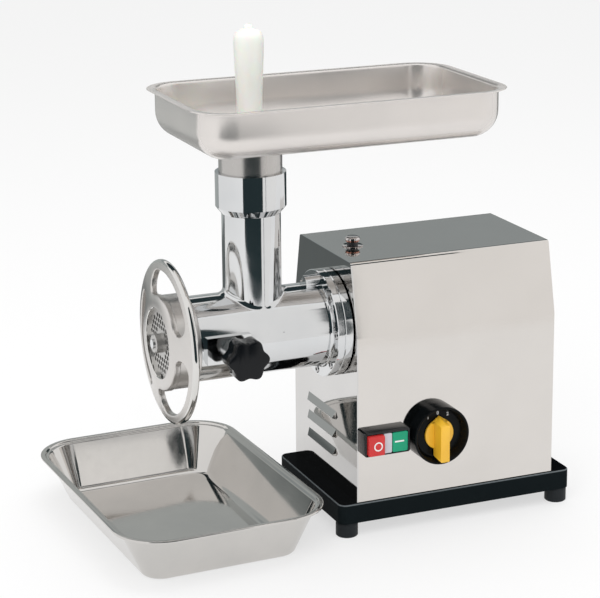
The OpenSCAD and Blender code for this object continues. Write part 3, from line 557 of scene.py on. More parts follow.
@dataclass(frozen=True)
class Moulding:
    """A moulded, painted or rubber finish with fine texture and slow tone changes.

    Attributes:
        name: Name of the material.
        light: Colour where it is lightest.
        dark: Colour where it is darkest.
        smooth: Roughness where it is smoothest.
        rough: Roughness where it is roughest.
        texture: Depth of the fine texture in metres.
        texture_scale: Fineness of the texture.
        coat: Weight of a clear coat.
        glow: Share of light that passes under the surface.
        shine: Strength of the plain reflection.
        side: Painted reflection, a colour added where the surface stands upright, so the sides read lighter
            than the top.
        rim: Painted highlight, a colour added where it leans between upright and level, as a light line along
            rounded edges.
    """

    name: str
    light: Colour
    dark: Colour
    smooth: float
    rough: float
    texture: float = 0.00002
    texture_scale: float = 900.0
    coat: float = 0.0
    glow: float = 0.0
    shine: float = 0.5
    side: Colour | None = None
    rim: Colour | None = None

    def material(self) -> bpy.types.Material:
        """Builds the finish once and returns it again when asked.

        Returns:
            The procedural material.
        """
        if self.name in MIXED:
            return MIXED[self.name]
        material, w, shader = new_finish(self.name)
        tree = material.node_tree
        shader.inputs["Coat Weight"].default_value = self.coat
        shader.inputs["Coat Roughness"].default_value = 0.06
        shader.inputs["Specular IOR Level"].default_value = self.shine
        shader.inputs["Subsurface Weight"].default_value = self.glow
        shader.inputs["Subsurface Scale"].default_value = 0.004
        where = w.add("ShaderNodeTexCoord").outputs["Object"]
        clouds = w.group(
            EFFECTS.clouds,
            {"Vector": where, "Scale": 22.0, "Light": (*self.light, 1), "Dark": (*self.dark, 1)}
        )
        gloss = w.add(
            "ShaderNodeMapRange",
            {"Value": clouds.outputs["Tone"], "To Min": self.smooth, "To Max": self.rough}
        )
        marks = w.group(
            EFFECTS.grain, {"Vector": where, "Stretch": Grain.NONE.value, "Scale": self.texture_scale}
        )
        bump = w.add(
            "ShaderNodeBump", {"Height": marks.outputs["Height"], "Strength": 1.0, "Distance": self.texture}
        )
        colour = clouds.outputs["Color"]
        # Painted light: the ramp on the normal's lean adds a painted reflection (side) on upright faces and a
        # painted highlight (rim) on edges that lean between upright and level.
        if self.side and self.rim:
            facing = w.add("ShaderNodeNewGeometry").outputs["Normal"]
            lean = w.add("ShaderNodeSeparateXYZ", {0: facing}).outputs[2]
            ramp = w.add("ShaderNodeValToRGB", {0: lean})
            stops = ramp.color_ramp.elements
            stops[0].position, stops[0].color = 0.12, (*self.side, 1)
            stops[1].position, stops[1].color = 0.97, (0, 0, 0, 1)
            for at, tint in ((0.30, self.rim), (0.75, self.rim)):
                stops.new(at).color = (*tint, 1)
            painted_highlight = w.add("ShaderNodeMix", {"Factor": 1.0}, data_type="RGBA", blend_type="ADD")
            tree.links.new(colour, painted_highlight.inputs[6])
            tree.links.new(ramp.outputs[0], painted_highlight.inputs[7])
            colour = painted_highlight.outputs[2]
        tree.links.new(colour, shader.inputs["Base Color"])
        tree.links.new(gloss.outputs[0], shader.inputs["Roughness"])
        tree.links.new(bump.outputs[0], shader.inputs["Normal"])
        return material


HEAD_AXIS = spot(-100, HEAD_Y, HEAD_Z)
SATIN_SHEET = Metal(
    "satin_sheet", light=(0.70, 0.67, 0.64), dark=(0.67, 0.64, 0.61), smooth=0.06, rough=0.10,
    grain=Grain.ALONG_Z, grain_scale=1400, grain_depth=0.0000006, wave=0.00002, wave_scale=4
)
MIRROR_SHEET = Metal(
    "mirror_sheet", light=(0.66, 0.65, 0.64), dark=(0.62, 0.61, 0.60), smooth=0.03, rough=0.06,
    grain=Grain.ALONG_Z, grain_scale=1400, grain_depth=0.0000006, wave=0.00003, wave_scale=5
)
CHROMED = Metal(
    "polished_casting", light=(0.72, 0.725, 0.725), dark=(0.64, 0.65, 0.66), smooth=0.05, rough=0.12,
    grain_scale=500, grain_depth=0.000002, wave=0.00012, wave_scale=26, pits=0.03
)
SOFT_CHROME = Metal(
    "turned_collar", light=(0.78, 0.78, 0.77), dark=(0.70, 0.70, 0.70), smooth=0.20, rough=0.30,
    grain_scale=700, grain_depth=0.000004, metallic=0.85
)
GROUND_FACE = Metal(
    "ground_face", light=(0.69, 0.665, 0.64), dark=(0.64, 0.62, 0.60), smooth=0.30, rough=0.40,
    grain=Grain.TURNED, grain_scale=2600, grain_depth=0.000006, centre=tuple(HEAD_AXIS)
)
POLISHED_RIM = Metal(
    "polished_rim", light=(0.74, 0.73, 0.71), dark=(0.68, 0.67, 0.65), smooth=0.06, rough=0.12,
    grain=Grain.TURNED, grain_scale=1800, grain_depth=0.000002, centre=tuple(HEAD_AXIS)
)
PLATE_STEEL = Metal(
    "plate_steel", light=(0.57, 0.56, 0.54), dark=(0.46, 0.45, 0.44), smooth=0.26, rough=0.38,
    grain=Grain.TURNED, grain_scale=2200, grain_depth=0.00001, metallic=0.85, centre=tuple(HEAD_AXIS)
)
TRAY_STEEL = Metal(
    "pressed_satin", light=(0.75, 0.715, 0.685), dark=(0.70, 0.67, 0.645), smooth=0.255, rough=0.265,
    grain=Grain.ALONG_X, grain_scale=1200, grain_depth=0.0000006, wave=0.00002, wave_scale=6,
    metallic=0.72
)
NECK_STEEL = Metal(
    "brushed_neck", light=(0.56, 0.54, 0.52), dark=(0.46, 0.445, 0.43), smooth=0.20, rough=0.36,
    grain=Grain.ALONG_Z, grain_scale=1600, grain_depth=0.00001
)
PAN_STEEL = Metal(
    "polished_pan", light=(0.66, 0.64, 0.615), dark=(0.60, 0.585, 0.565), smooth=0.05, rough=0.10,
    grain=Grain.ALONG_Y, grain_scale=1100, grain_depth=0.0000008, wave=0.00003, wave_scale=8, pits=0.018
)
FASTENER = Metal(
    "bright_fastener", light=(0.60, 0.60, 0.60), dark=(0.48, 0.48, 0.48), smooth=0.14, rough=0.28,
    grain_depth=0.000006
)
CAST_ALLOY = Metal(
    "rough_cast_alloy", light=(0.62, 0.63, 0.64), dark=(0.52, 0.53, 0.54), smooth=0.36, rough=0.52,
    grain_scale=420, grain_depth=0.00006, pits=0.05
)
GEAR_STEEL = Metal(
    "hardened_steel", light=(0.46, 0.46, 0.47), dark=(0.36, 0.36, 0.37), smooth=0.20, rough=0.34,
    grain_scale=800, grain_depth=0.000008
)
LAMINATION = Metal(
    "stacked_laminations", light=(0.34, 0.35, 0.36), dark=(0.24, 0.25, 0.26), smooth=0.40, rough=0.55,
    grain=Grain.ALONG_Y, grain_scale=1400, grain_depth=0.00004
)
BRONZE = Metal(
    "bush_bronze", light=(0.64, 0.45, 0.22), dark=(0.52, 0.36, 0.17), smooth=0.24, rough=0.38,
    grain_scale=700, grain_depth=0.00001
)
VENT_METAL = Metal(
    "plated_vent", light=(0.66, 0.63, 0.62), dark=(0.54, 0.50, 0.49), smooth=0.06, rough=0.14,
    grain_scale=700, grain_depth=0.000003
)
COPPER_RING = Metal(
    "copper_ring", light=(0.52, 0.26, 0.20), dark=(0.36, 0.17, 0.13), smooth=0.14, rough=0.26,
    grain_scale=700, grain_depth=0.000004
)
# Painted light on the base: side is a painted reflection that lightens its upright faces, rim a painted
# highlight along its rounded top edges; its own reflection is nearly off.
BLACK_BASE = Moulding(
    "gloss_black_base", light=(0.0030, 0.0035, 0.0040), dark=(0.0020, 0.0024, 0.0028), smooth=0.10,
    rough=0.18, texture=0.000006, texture_scale=500, shine=0.005, side=(0.006, 0.009, 0.010),
    rim=(0.16, 0.18, 0.19)
)
RUBBER = Moulding(
    "foot_rubber", light=(0.016, 0.020, 0.023), dark=(0.010, 0.012, 0.014), smooth=0.45, rough=0.60,
    texture=0.00004, texture_scale=700, shine=0.2
)
BLACK_KNOB = Moulding(
    "black_phenolic", light=(0.0050, 0.0060, 0.0075), dark=(0.0030, 0.0036, 0.0046), smooth=0.10,
    rough=0.18, texture=0.000006, texture_scale=500, shine=0.22
)
BLACK_DIAL = Moulding(
    "black_dial", light=(0.0040, 0.0050, 0.0055), dark=(0.0026, 0.0032, 0.0038), smooth=0.14,
    rough=0.22, texture=0.000006, texture_scale=500, shine=0.10
)
BLACK_SWITCH = Moulding(
    "black_switch", light=(0.0075, 0.0090, 0.0105), dark=(0.0050, 0.0060, 0.0070), smooth=0.14,
    rough=0.24, texture=0.00001, texture_scale=600, shine=0.45
)
INNER_PLASTIC = Moulding(
    "dark_inner_plastic", light=(0.026, 0.028, 0.030), dark=(0.016, 0.017, 0.019), smooth=0.34,
    rough=0.48, texture=0.00003, texture_scale=700
)
RED_CAP = Moulding(
    "red_cap", light=(0.64, 0.034, 0.034), dark=(0.55, 0.024, 0.026), smooth=0.18, rough=0.28,
    texture=0.00001, texture_scale=600, coat=0.2, shine=0.3
)
GREEN_CAP = Moulding(
    "green_cap", light=(0.008, 0.36, 0.19), dark=(0.006, 0.29, 0.15), smooth=0.18, rough=0.28,
    texture=0.00001, texture_scale=600, coat=0.1, shine=0.25
)
GREY_LENS = Moulding(
    "grey_lens", light=(0.58, 0.57, 0.62), dark=(0.50, 0.49, 0.54), smooth=0.14, rough=0.22,
    texture=0.000008, texture_scale=600, coat=0.5
)
YELLOW_LEVER = Moulding(
    "yellow_lever", light=(0.93, 0.54, 0.035), dark=(0.86, 0.47, 0.028), smooth=0.26, rough=0.36,
    texture_scale=700, coat=0.2
)
WHITE_MARK = Moulding(
    "white_marking", light=(0.86, 0.86, 0.86), dark=(0.78, 0.78, 0.78), smooth=0.40, rough=0.50,
    texture=0.000006
)
PUSHER_PLASTIC = Moulding(
    "white_polyethylene", light=(0.92, 0.93, 0.88), dark=(0.88, 0.89, 0.83), smooth=0.36, rough=0.48,
    texture_scale=300, glow=0.35
)
MOTOR_PAINT = Moulding(
    "motor_enamel", light=(0.075, 0.095, 0.115), dark=(0.055, 0.07, 0.085), smooth=0.30, rough=0.42,
    texture=0.00005, texture_scale=380, coat=0.2
)
COPPER_WIRE = Metal(
    "varnished_copper", light=(0.62, 0.27, 0.10), dark=(0.46, 0.19, 0.07), smooth=0.24, rough=0.40,
    grain=Grain.ALONG_X, grain_depth=0.0002
)
CAPACITOR = Moulding(
    "capacitor_case", light=(0.66, 0.66, 0.65), dark=(0.58, 0.58, 0.57), smooth=0.36, rough=0.48,
    texture_scale=500
)

NODE_FINISH: dict[str, Metal | Moulding] = {
    "base_plate": BLACK_BASE, "foot_front_near": RUBBER, "foot_front_far": RUBBER,
    "foot_rear_near": RUBBER, "foot_rear_far": RUBBER, "foot_screws": FASTENER,
    "housing_wrap": SATIN_SHEET, "front_panel": MIRROR_SHEET, "rear_panel": SATIN_SHEET,
    "rear_panel_screws": FASTENER, "housing_screws": FASTENER, "vent_plug": VENT_METAL,
    "cable_gland": INNER_PLASTIC, "gearbox_case": CHROMED, "gearbox_cover": CAST_ALLOY,
    "gearbox_cover_screws": FASTENER, "output_bearing_front": GEAR_STEEL,
    "output_bearing_rear": GEAR_STEEL, "idler_bearings": GEAR_STEEL, "rotor_bearings": GEAR_STEEL,
    "shaft_seal": RUBBER, "output_shaft": GEAR_STEEL, "output_gear": GEAR_STEEL,
    "idler_shaft": GEAR_STEEL, "idler_gear": GEAR_STEEL, "motor_frame": MOTOR_PAINT,
    "stator_core": LAMINATION, "stator_windings": COPPER_WIRE, "motor_rear_bell": MOTOR_PAINT,
    "motor_tie_bolts": FASTENER, "rotor_shaft": GEAR_STEEL, "rotor_core": LAMINATION,
    "cooling_fan": INNER_PLASTIC, "motor_cradle": MOTOR_PAINT, "run_capacitor": CAPACITOR,
    "capacitor_clip": CAST_ALLOY, "head_casting": CHROMED, "head_bolts": FASTENER, "worm_bush": BRONZE,
    "worm": CHROMED, "knife": GEAR_STEEL, "perforated_plate": PLATE_STEEL, "plate_key": GEAR_STEEL,
    "ring_wheel": POLISHED_RIM, "knob_collar": SOFT_CHROME, "knob_stud": FASTENER,
    "clamp_knob": BLACK_KNOB, "feed_tray": TRAY_STEEL, "tray_neck": NECK_STEEL,
    "pusher": PUSHER_PLASTIC, "catch_pan": PAN_STEEL, "switch_box": BLACK_SWITCH,
    "stop_button": RED_CAP, "start_button": GREEN_CAP, "pilot_lens": GREY_LENS,
    "selector_housing": BLACK_DIAL, "selector_lever": YELLOW_LEVER, "selector_cam_block": INNER_PLASTIC,
}


def settle(piece: bpy.types.Object, body: str, slot: str, *nodes: str) -> bpy.types.Object:
    """Puts a finished piece on its body and hides the nodes it stands for.

    Args:
        piece: The piece, in place.
        body: Body that it rides on.
        slot: Material slot of the record; not used.
        *nodes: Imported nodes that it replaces.

    Returns:
        The same piece.
    """
    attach(piece, body)
    if nodes:
        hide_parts(*nodes)
    log.info("%s rides on %s, %d faces", piece.name, body, len(piece.data.polygons))
    return piece


# ------------------------------------------------------------------ repeated fasteners


class ScrewField:
    """Geometry Nodes tree that sets one screw on each point of a mesh."""

    def __init__(self) -> None:
        """Builds the tree with its named inputs."""
        tree = bpy.data.node_groups.new("screw_field", "GeometryNodeTree")
        for name, kind in (
            ("Points", "Geometry"), ("Screw", "Object"), ("Turn", "Float"), ("Axis", "Vector"),
            ("Finish", "Material")
        ):
            tree.interface.new_socket(name=name, in_out="INPUT", socket_type="NodeSocket" + kind)
        tree.interface.new_socket(name="Screws", in_out="OUTPUT", socket_type="NodeSocketGeometry")
        given, result = tree.nodes.new("NodeGroupInput"), tree.nodes.new("NodeGroupOutput")
        info = tree.nodes.new("GeometryNodeObjectInfo")
        number = tree.nodes.new("GeometryNodeInputIndex")
        angle = tree.nodes.new("ShaderNodeMath")
        angle.operation = "MULTIPLY"
        spin = tree.nodes.new("FunctionNodeAxisAngleToRotation")
        instances = tree.nodes.new("GeometryNodeInstanceOnPoints")
        real = tree.nodes.new("GeometryNodeRealizeInstances")
        finish = tree.nodes.new("GeometryNodeSetMaterial")
        for source, target in (
            (given.outputs["Screw"], info.inputs["Object"]), (number.outputs[0], angle.inputs[0]),
            (given.outputs["Turn"], angle.inputs[1]), (given.outputs["Axis"], spin.inputs["Axis"]),
            (angle.outputs[0], spin.inputs["Angle"]), (given.outputs["Points"], instances.inputs["Points"]),
            (info.outputs["Geometry"], instances.inputs["Instance"]),
            (spin.outputs[0], instances.inputs["Rotation"]),
            (instances.outputs[0], real.inputs[0]), (real.outputs[0], finish.inputs["Geometry"]),
            (given.outputs["Finish"], finish.inputs["Material"]),
            (finish.outputs[0], result.inputs["Screws"]),
        ):
            tree.links.new(source, target)
        self.tree = tree

    def bake(
        self, name: str, screw: bmesh.types.BMesh, points: Iterable[Vector], axis: Vector, turn: float,
        finish: bpy.types.Material
    ) -> bpy.types.Object:
        """Sets a screw on each point and keeps the result as a plain mesh.

        Args:
            name: Name of the piece.
            screw: Mesh of one screw round the world's origin.
            points: Places of the screws, in the row frame.
            axis: Axis that each screw is turned about.
            turn: Angle between one screw and the next, in radians.
            finish: Material of the screws.

        Returns:
            The baked piece.
        """
        master = finish_mesh(name + "_master", screw, [finish])
        mesh = bpy.data.meshes.new(name)
        mesh.from_pydata([tuple(p) for p in points], [], [])
        carrier = bpy.data.objects.new(name, mesh)
        bpy.context.scene.collection.objects.link(carrier)
        modifier = carrier.modifiers.new("screws", "NODES")
        modifier.node_group = self.tree
        values = {"Screw": master, "Turn": turn, "Axis": tuple(axis), "Finish": finish}
        for item in self.tree.interface.items_tree:
            if item.item_type == "SOCKET" and item.in_out == "INPUT" and item.name in values:
                modifier[item.identifier] = values[item.name]
        carrier.update_tag()
        baked = bpy.data.meshes.new_from_object(carrier.evaluated_get(bpy.context.evaluated_depsgraph_get()))
        carrier.modifiers.clear()
        carrier.data = baked
        bpy.data.objects.remove(master)
        return carrier


def socket_screw(radius: float, height: float, shank: float, length: float) -> bmesh.types.BMesh:
    """Builds a socket-head screw along X, its head's top at the origin and facing -X.

    Args:
        radius: Radius of the head.
        height: Height of the head.
        shank: Radius of the shank.
        length: Length of the shank.

    Returns:
        The screw's mesh.
    """
    body = [
        (radius * 0.5, 0.0), (radius * 0.86, 0.0), (radius * 0.96, 0.25), (radius, 0.7), (radius, height),
        (shank, height), (shank, height + length)
    ]
    rings = [[Facing.REAR.place(Vector(), x, y, h) for x, y in circle(r, 24)] for r, h in body]
    socket = radius * 0.5
    hexagon = [
        [Facing.REAR.place(Vector(), *point, h) for point in _hex_on_circle(socket * s, 24)]
        for s, h in ((1.0, 0.0), (0.96, 0.3), (0.96, height * 0.6))
    ]
    return skin(list(reversed(hexagon)) + rings[1:])


def _hex_on_circle(radius: float, count: int) -> list[tuple[float, float]]:
    """Gives a hexagon's outline with the same number of points as a circle.

    Args:
        radius: Radius over the corners.
        count: Number of points.

    Returns:
        Points of the outline.
    """
    points = []
    for i in range(count):
        angle = math.tau * i / count
        reach = radius * math.cos(math.pi / 6) / math.cos((angle + math.pi / 6) % (math.pi / 3) - math.pi / 6)
        points.append((reach * math.cos(angle), reach * math.sin(angle)))
    return points


# ------------------------------------------------------------------ sub-assemblies


@dataclass
class Head:
    """Fillet between the throat and the barrel, and the screws that hold the head on."""

    bolt_circle: float = 47.4
    bolt_count: int = 8
    bolt_front: float = -18.5
    bolt_turn: float = 0.61
    throat_x: float = -85.2
    throat_r: float = 28.5
    barrel_r: float = 41.5
    blend_r: float = 6.0
    sunk: float = 1.2

    def _blend(self, steps: int = 96) -> None:
        """Rolls a fillet into the corner between the throat and the barrel.

        Args:
            steps: Segments round the throat.
        """
        far, out = self.barrel_r + self.blend_r, self.throat_r + self.blend_r
        deep = self.throat_r - self.sunk
        rings = []
        for step in range(steps + 1):
            cos, sin = math.cos(math.tau * step / steps), math.sin(math.tau * step / steps)
            rise = math.sqrt(far ** 2 - (out * sin) ** 2)
            ball = spot(self.throat_x + out * cos, HEAD_Y + out * sin, HEAD_Z + rise)
            upper = spot(self.throat_x + self.throat_r * cos, HEAD_Y + self.throat_r * sin, HEAD_Z + rise)
            scale = self.barrel_r / far
            lower = spot(self.throat_x + out * cos, HEAD_Y + out * sin * scale, HEAD_Z + rise * scale)
            first, last = (upper - ball).normalized(), (lower - ball).normalized()
            ring = [ball + first.slerp(last, i / 8) * self.blend_r * MM for i in range(9)]
            inside = spot(
                self.throat_x + deep * cos, HEAD_Y + deep * sin,
                HEAD_Z + math.sqrt((self.barrel_r - self.sunk) ** 2 - (deep * sin) ** 2)
            )
            rings.append(ring + [inside])
        blend = finish_mesh("throat_blend", skin(rings, False, False), [CHROMED.material()], 50)
        settle(blend, "machine", "steel_bright")

    def build(self, fasteners: ScrewField) -> None:
        """Sets the flange screws and blends the throat into the barrel.

        Args:
            fasteners: Tree that sets the screws.
        """
        self._blend()
        points = [
            spot(
                self.bolt_front, HEAD_Y + self.bolt_circle * math.cos(math.tau * k / self.bolt_count),
                HEAD_Z + self.bolt_circle * math.sin(math.tau * k / self.bolt_count)
            )
            for k in range(self.bolt_count)
        ]
        screw = socket_screw(radius=3.9, height=5.0, shank=2.2, length=8.0)
        screws = fasteners.bake(
            "flange_screws", screw, points, Vector((1, 0, 0)), self.bolt_turn, FASTENER.material()
        )
        settle(screws, "machine", "fastener", "head_bolts")


@dataclass
class RingWheel:
    """Screw-on ring wheel: a shallow cone with three finger openings and a rounded rim."""

    front: float = -183.0
    rim_front: float = -173.7
    rim_thickness: float = 5.9
    web_back: float = -175.0
    rear: float = -153.5
    bore: float = 34.0
    seat: float = 39.6
    hub: float = 45.6
    outer: float = 79.8
    opening: tuple[float, float] = (46.5, 69.8)
    span: float = 96.0
    first_web: float = 171.0
    edge: float = 1.6
    rim_round: float = 3.0
    openings: int = 3

    def cone(self, radius: float) -> float:
        """Gives the front face's X at a radius."""
        share = (radius - self.seat) / (self.outer - self.rim_round - self.seat)
        return self.front + max(0.0, share) * (self.rim_front - 1 - self.front)

    def back_cone(self, radius: float) -> float:
        """Gives the rear face's X at a radius."""
        start = self.hub + 3
        share = (radius - start) / (self.outer - self.rim_round - start)
        return self.web_back + max(0.0, share) * (self.rim_front + self.rim_thickness - self.web_back)

    def middles(self) -> list[float]:
        """Gives the direction of each opening's middle, in degrees."""
        step = 360 / self.openings
        return [self.first_web + step / 2 + step * k for k in range(self.openings)]

    def measures(self, grow: float) -> tuple[float, float, float, float, float]:
        """Gives one opening's sizes with its outline pushed outwards.

        Args:
            grow: How far the outline stands outside the opening.

        Returns:
            Inner, outer and middle radius, radius of the round ends, and half the angle between them.
        """
        low, high = self.opening[0] - grow, self.opening[1] + grow
        middle = (low + high) / 2
        half = math.radians(self.span / 2) - math.asin((self.opening[1] - self.opening[0]) / 2 / middle)
        return low, high, middle, (high - low) / 2, half

    def kidney(self, angle: float, grow: float) -> list[tuple[float, float]]:
        """Gives the outline of one finger opening.

        Args:
            angle: Direction of the opening's middle, in degrees.
            grow: How far the outline stands outside the opening.

        Returns:
            Points (Y, Z) from the axis, anticlockwise.
        """
        low, high, middle, cap, half = self.measures(grow)
        turn = math.radians(angle)
        points = [(high, t) for t in (half * (i / 12 - 1) for i in range(25))]
        outline = [(r * math.cos(turn + t), r * math.sin(turn + t)) for r, t in points]
        for end, start in ((half, 0.0), (-half, math.pi)):
            cy, cz = middle * math.cos(turn + end), middle * math.sin(turn + end)
            arc = [turn + end + start + math.pi * i / 10 for i in range(1, 10)]
            outline += [(cy + cap * math.cos(a), cz + cap * math.sin(a)) for a in arc]
            if end > 0:
                outline += [
                    (low * math.cos(turn - t), low * math.sin(turn - t))
                    for t in (half * (i / 12 - 1) for i in range(25))
                ]
        return outline

    def plate(
        self, grow: float, inner: float, outer: float, face: Callable[[float], float]
    ) -> bmesh.types.BMesh:
        """Fills one side of the wheel between two circles, leaving the openings free.

        Args:
            grow: How far the openings' edges are drawn back.
            inner: Radius of the inner circle.
            outer: Radius of the outer circle.
            face: Gives X for a radius.

        Returns:
            The sheet, still without its edges.
        """
        loops = [circle(outer, 144), circle(inner, 96)]
        loops += [self.kidney(angle, grow) for angle in self.middles()]
        points, edges = [], []
        for loop in loops:
            start = len(points)
            points += [Vector(p) for p in loop]
            edges += [(start + i, start + (i + 1) % len(loop)) for i in range(len(loop))]
        centre = sum(self.opening) / 2
        for r in (inner + 3.0, centre - 5, centre + 5, outer - 3.0):
            for a in range(0, 360, 4):
                away = min(abs((a - angle + 180) % 360 - 180) for angle in self.middles())
                if inner + 3.5 < r < outer - 3.5 and away < self.span / 2 + 2:
                    continue
                points.append(Vector((r * math.cos(math.radians(a)), r * math.sin(math.radians(a)))))
        found, _, faces, *_ = delaunay_2d_cdt(points, edges, [], 0, 1e-4)
        bm = bmesh.new()
        verts = [bm.verts.new(spot(face(p.length), HEAD_Y + p.x, HEAD_Z + p.y)) for p in found]
        for corners in faces:
            middle = sum((found[i] for i in corners), Vector((0, 0))) / len(corners)
            if middle.length < inner * math.cos(math.pi / 96) - 0.01 or self._open(middle, grow):
                continue
            bm.faces.new([verts[i] for i in corners])
        loose = [v for v in bm.verts if not v.link_faces]
        bmesh.ops.delete(bm, geom=loose, context="VERTS")
        return bm

    def _open(self, point: Vector, grow: float) -> bool:
        """Tells whether a point lies in one of the openings.

        Args:
            point: Point (Y, Z) from the axis.
            grow: How far the openings' outlines stand outside them.

        Returns:
            True inside an opening.
        """
        low, high, middle, cap, half = self.measures(grow)
        angle = math.atan2(point.y, point.x)
        for opening in self.middles():
            away = (angle - math.radians(opening) + math.pi) % math.tau - math.pi
            if abs(away) <= half and low < point.length < high:
                return True
            for end in (-half, half):
                turn = angle - away + end
                centre = Vector((middle * math.cos(turn), middle * math.sin(turn)))
                if (point - centre).length < cap:
                    return True
        return False

    def _wall(self, angle: float, steps: int = 4) -> list[Ring]:
        """Gives the rings of one opening's wall, rounded at the front and at the rear.

        Args:
            angle: Direction of the opening's middle, in degrees.
            steps: Steps of each rounded edge.

        Returns:
            Rings from the front face to the rear face.
        """
        rings = []
        for face, size in ((self.cone, self.edge), (self.back_cone, -0.6 * self.edge)):
            row = []
            for step in range(steps + 1):
                t = math.pi / 2 * step / steps
                outline = self.kidney(angle, abs(size) * (1 - math.sin(t)))
                deep = size * (1 - math.cos(t))
                row.append([spot(face(math.hypot(y, z)) + deep, HEAD_Y + y, HEAD_Z + z) for y, z in outline])
            rings += row if size > 0 else row[::-1]
        return rings

    def build(self) -> None:
        """Builds the wheel's faces, rounded edges, rim and hub as one closed shell."""
        inner, outer = self.seat, self.outer - self.rim_round
        front = self.plate(self.edge, inner, outer, self.cone)
        behind_inner = self.hub + 0.3
        rear = self.plate(self.edge * 0.6, behind_inner, outer, self.back_cone)
        walls = [skin(self._wall(angle), False, False) for angle in self.middles()]
        rim = [(outer, self.cone(outer))]
        near, far = self.cone(outer), self.back_cone(outer)
        middle, half = (near + far) / 2, (far - near) / 2
        for i in range(1, 13):
            t = math.pi * i / 12
            rim.append((outer + self.rim_round * math.sin(t), middle - half * math.cos(t)))
        hub = [
            (behind_inner, self.back_cone(behind_inner)), (self.hub, self.web_back + 1.2),
            (self.hub, self.rear - 0.8), (self.hub - 0.8, self.rear), (38.58, self.rear),
            (38.58, self.front + 4), (self.bore, self.front + 4), (self.bore, self.front + 0.6),
            (self.bore + 0.6, self.front), (self.seat, self.front)
        ]
        centre = spot(0, HEAD_Y, HEAD_Z)
        rim_shell = turned(centre, Facing.REAR, rim, 144, False, False)
        hub_shell = turned(centre, Facing.REAR, hub, 96, False, False)
        bm = joined(front, rear, *walls, rim_shell, hub_shell)
        bmesh.ops.remove_doubles(bm, verts=bm.verts, dist=2e-5)
        bmesh.ops.recalc_face_normals(bm, faces=bm.faces)
        for face in bm.faces:
            middle = face.calc_center_median()
            reach = math.hypot(middle.y - centre.y, middle.z - centre.z) / MM
            in_opening = self.opening[0] - 2 < reach < self.opening[1] + 2 and abs(face.normal.x) < 0.9
            face.material_index = 0 if in_opening or (face.normal.x < -0.9 and reach < outer) else 1
        wheel = finish_mesh("ring_wheel_body", bm, [GROUND_FACE.material(), POLISHED_RIM.material()], 40)
        settle(wheel, "ring", "steel_bright", "ring_wheel")


@dataclass
class ClampKnob:
    """Six-lobed knob that tightens on the barrel's near side."""

    x: float = -123.0
    z: float = 206.0
    seat_y: float = -86.0
    length: float = 25.0
    radius: float = 20.5
    flute: float = 3.6
    lobes: int = 6

    def outline(self, inset: float) -> list[tuple[float, float]]:
        """Gives the lobed outline, drawn in by an inset."""
        points = []
        for step in range(144):
            a = math.tau * step / 144
            r = self.radius - self.flute * (1 - math.cos(self.lobes * a)) / 2 - inset
            points.append((r * math.cos(a), r * math.sin(a)))
        return points

    def build(self) -> None:
        """Builds the knob with rounded edges and a low centre boss."""
        centre = spot(self.x, self.seat_y, self.z)
        lower = [(9.0, 0.4), (7.7, 0.1), (7.7, 4.0), (1.8, 4.0), (0.7, 4.4), (0.1, 5.4)]
        upper = rounded_edge(1.8, self.length, 5)
        bm = stacked(centre, Facing.NEAR, self.outline, lower + upper)
        knob = finish_mesh("clamp_knob_body", bm, [BLACK_KNOB.material()], 50)
        settle(knob, "knob", "knob_black", "clamp_knob")


@dataclass
class CatchPan:
    """Pressed pan with sloping walls, a stepped rim and rounded inner corners."""

    x: float = -150.0
    y: float = 25.0
    length: float = 213.0
    width: float = 306.0
    corner: float = 48.0
    turn: float = 2.0

    def outline(self, inset: float) -> list[tuple[float, float]]:
        """Gives the pan's turned outline, drawn in by an inset."""
        cos, sin = math.cos(math.radians(self.turn)), math.sin(math.radians(self.turn))
        box = rounded_box(self.length - 2 * inset, self.width - 2 * inset, self.corner - inset, 14)
        return [(x * cos - y * sin, x * sin + y * cos) for x, y in box]

    def build(self) -> None:
        """Sweeps the pan's section round its outline."""
        outside = [
            (16, 0), (18.4, 0.7), (20.3, 2.3), (21.3, 4.6), (40.3, 45.6), (40.9, 46.6), (42.0, 47.0),
            (46.8, 47.1), (47.7, 47.5), (48, 48.3), (48, 49.2), (47.7, 49.8), (47.2, 50)
        ]
        inside = [
            (44.2, 50), (43.4, 49.8), (42.9, 49.2), (42.6, 48.3), (42.1, 47.8), (41.2, 47.6), (40.2, 47.5),
            (39.7, 47.1), (39.3, 46.3), (20.5, 5.8), (19.2, 3.9), (17.2, 2.3), (14.6, 1.3), (11.5, 1)
        ]
        levels = [(self.corner - x, z) for x, z in outside + inside]
        bm = stacked(spot(self.x, self.y, 0), Facing.UP, self.outline, levels)
        pan = finish_mesh("catch_pan_shell", bm, [PAN_STEEL.material()], 60)
        settle(pan, "pan", "steel_bright", "catch_pan")


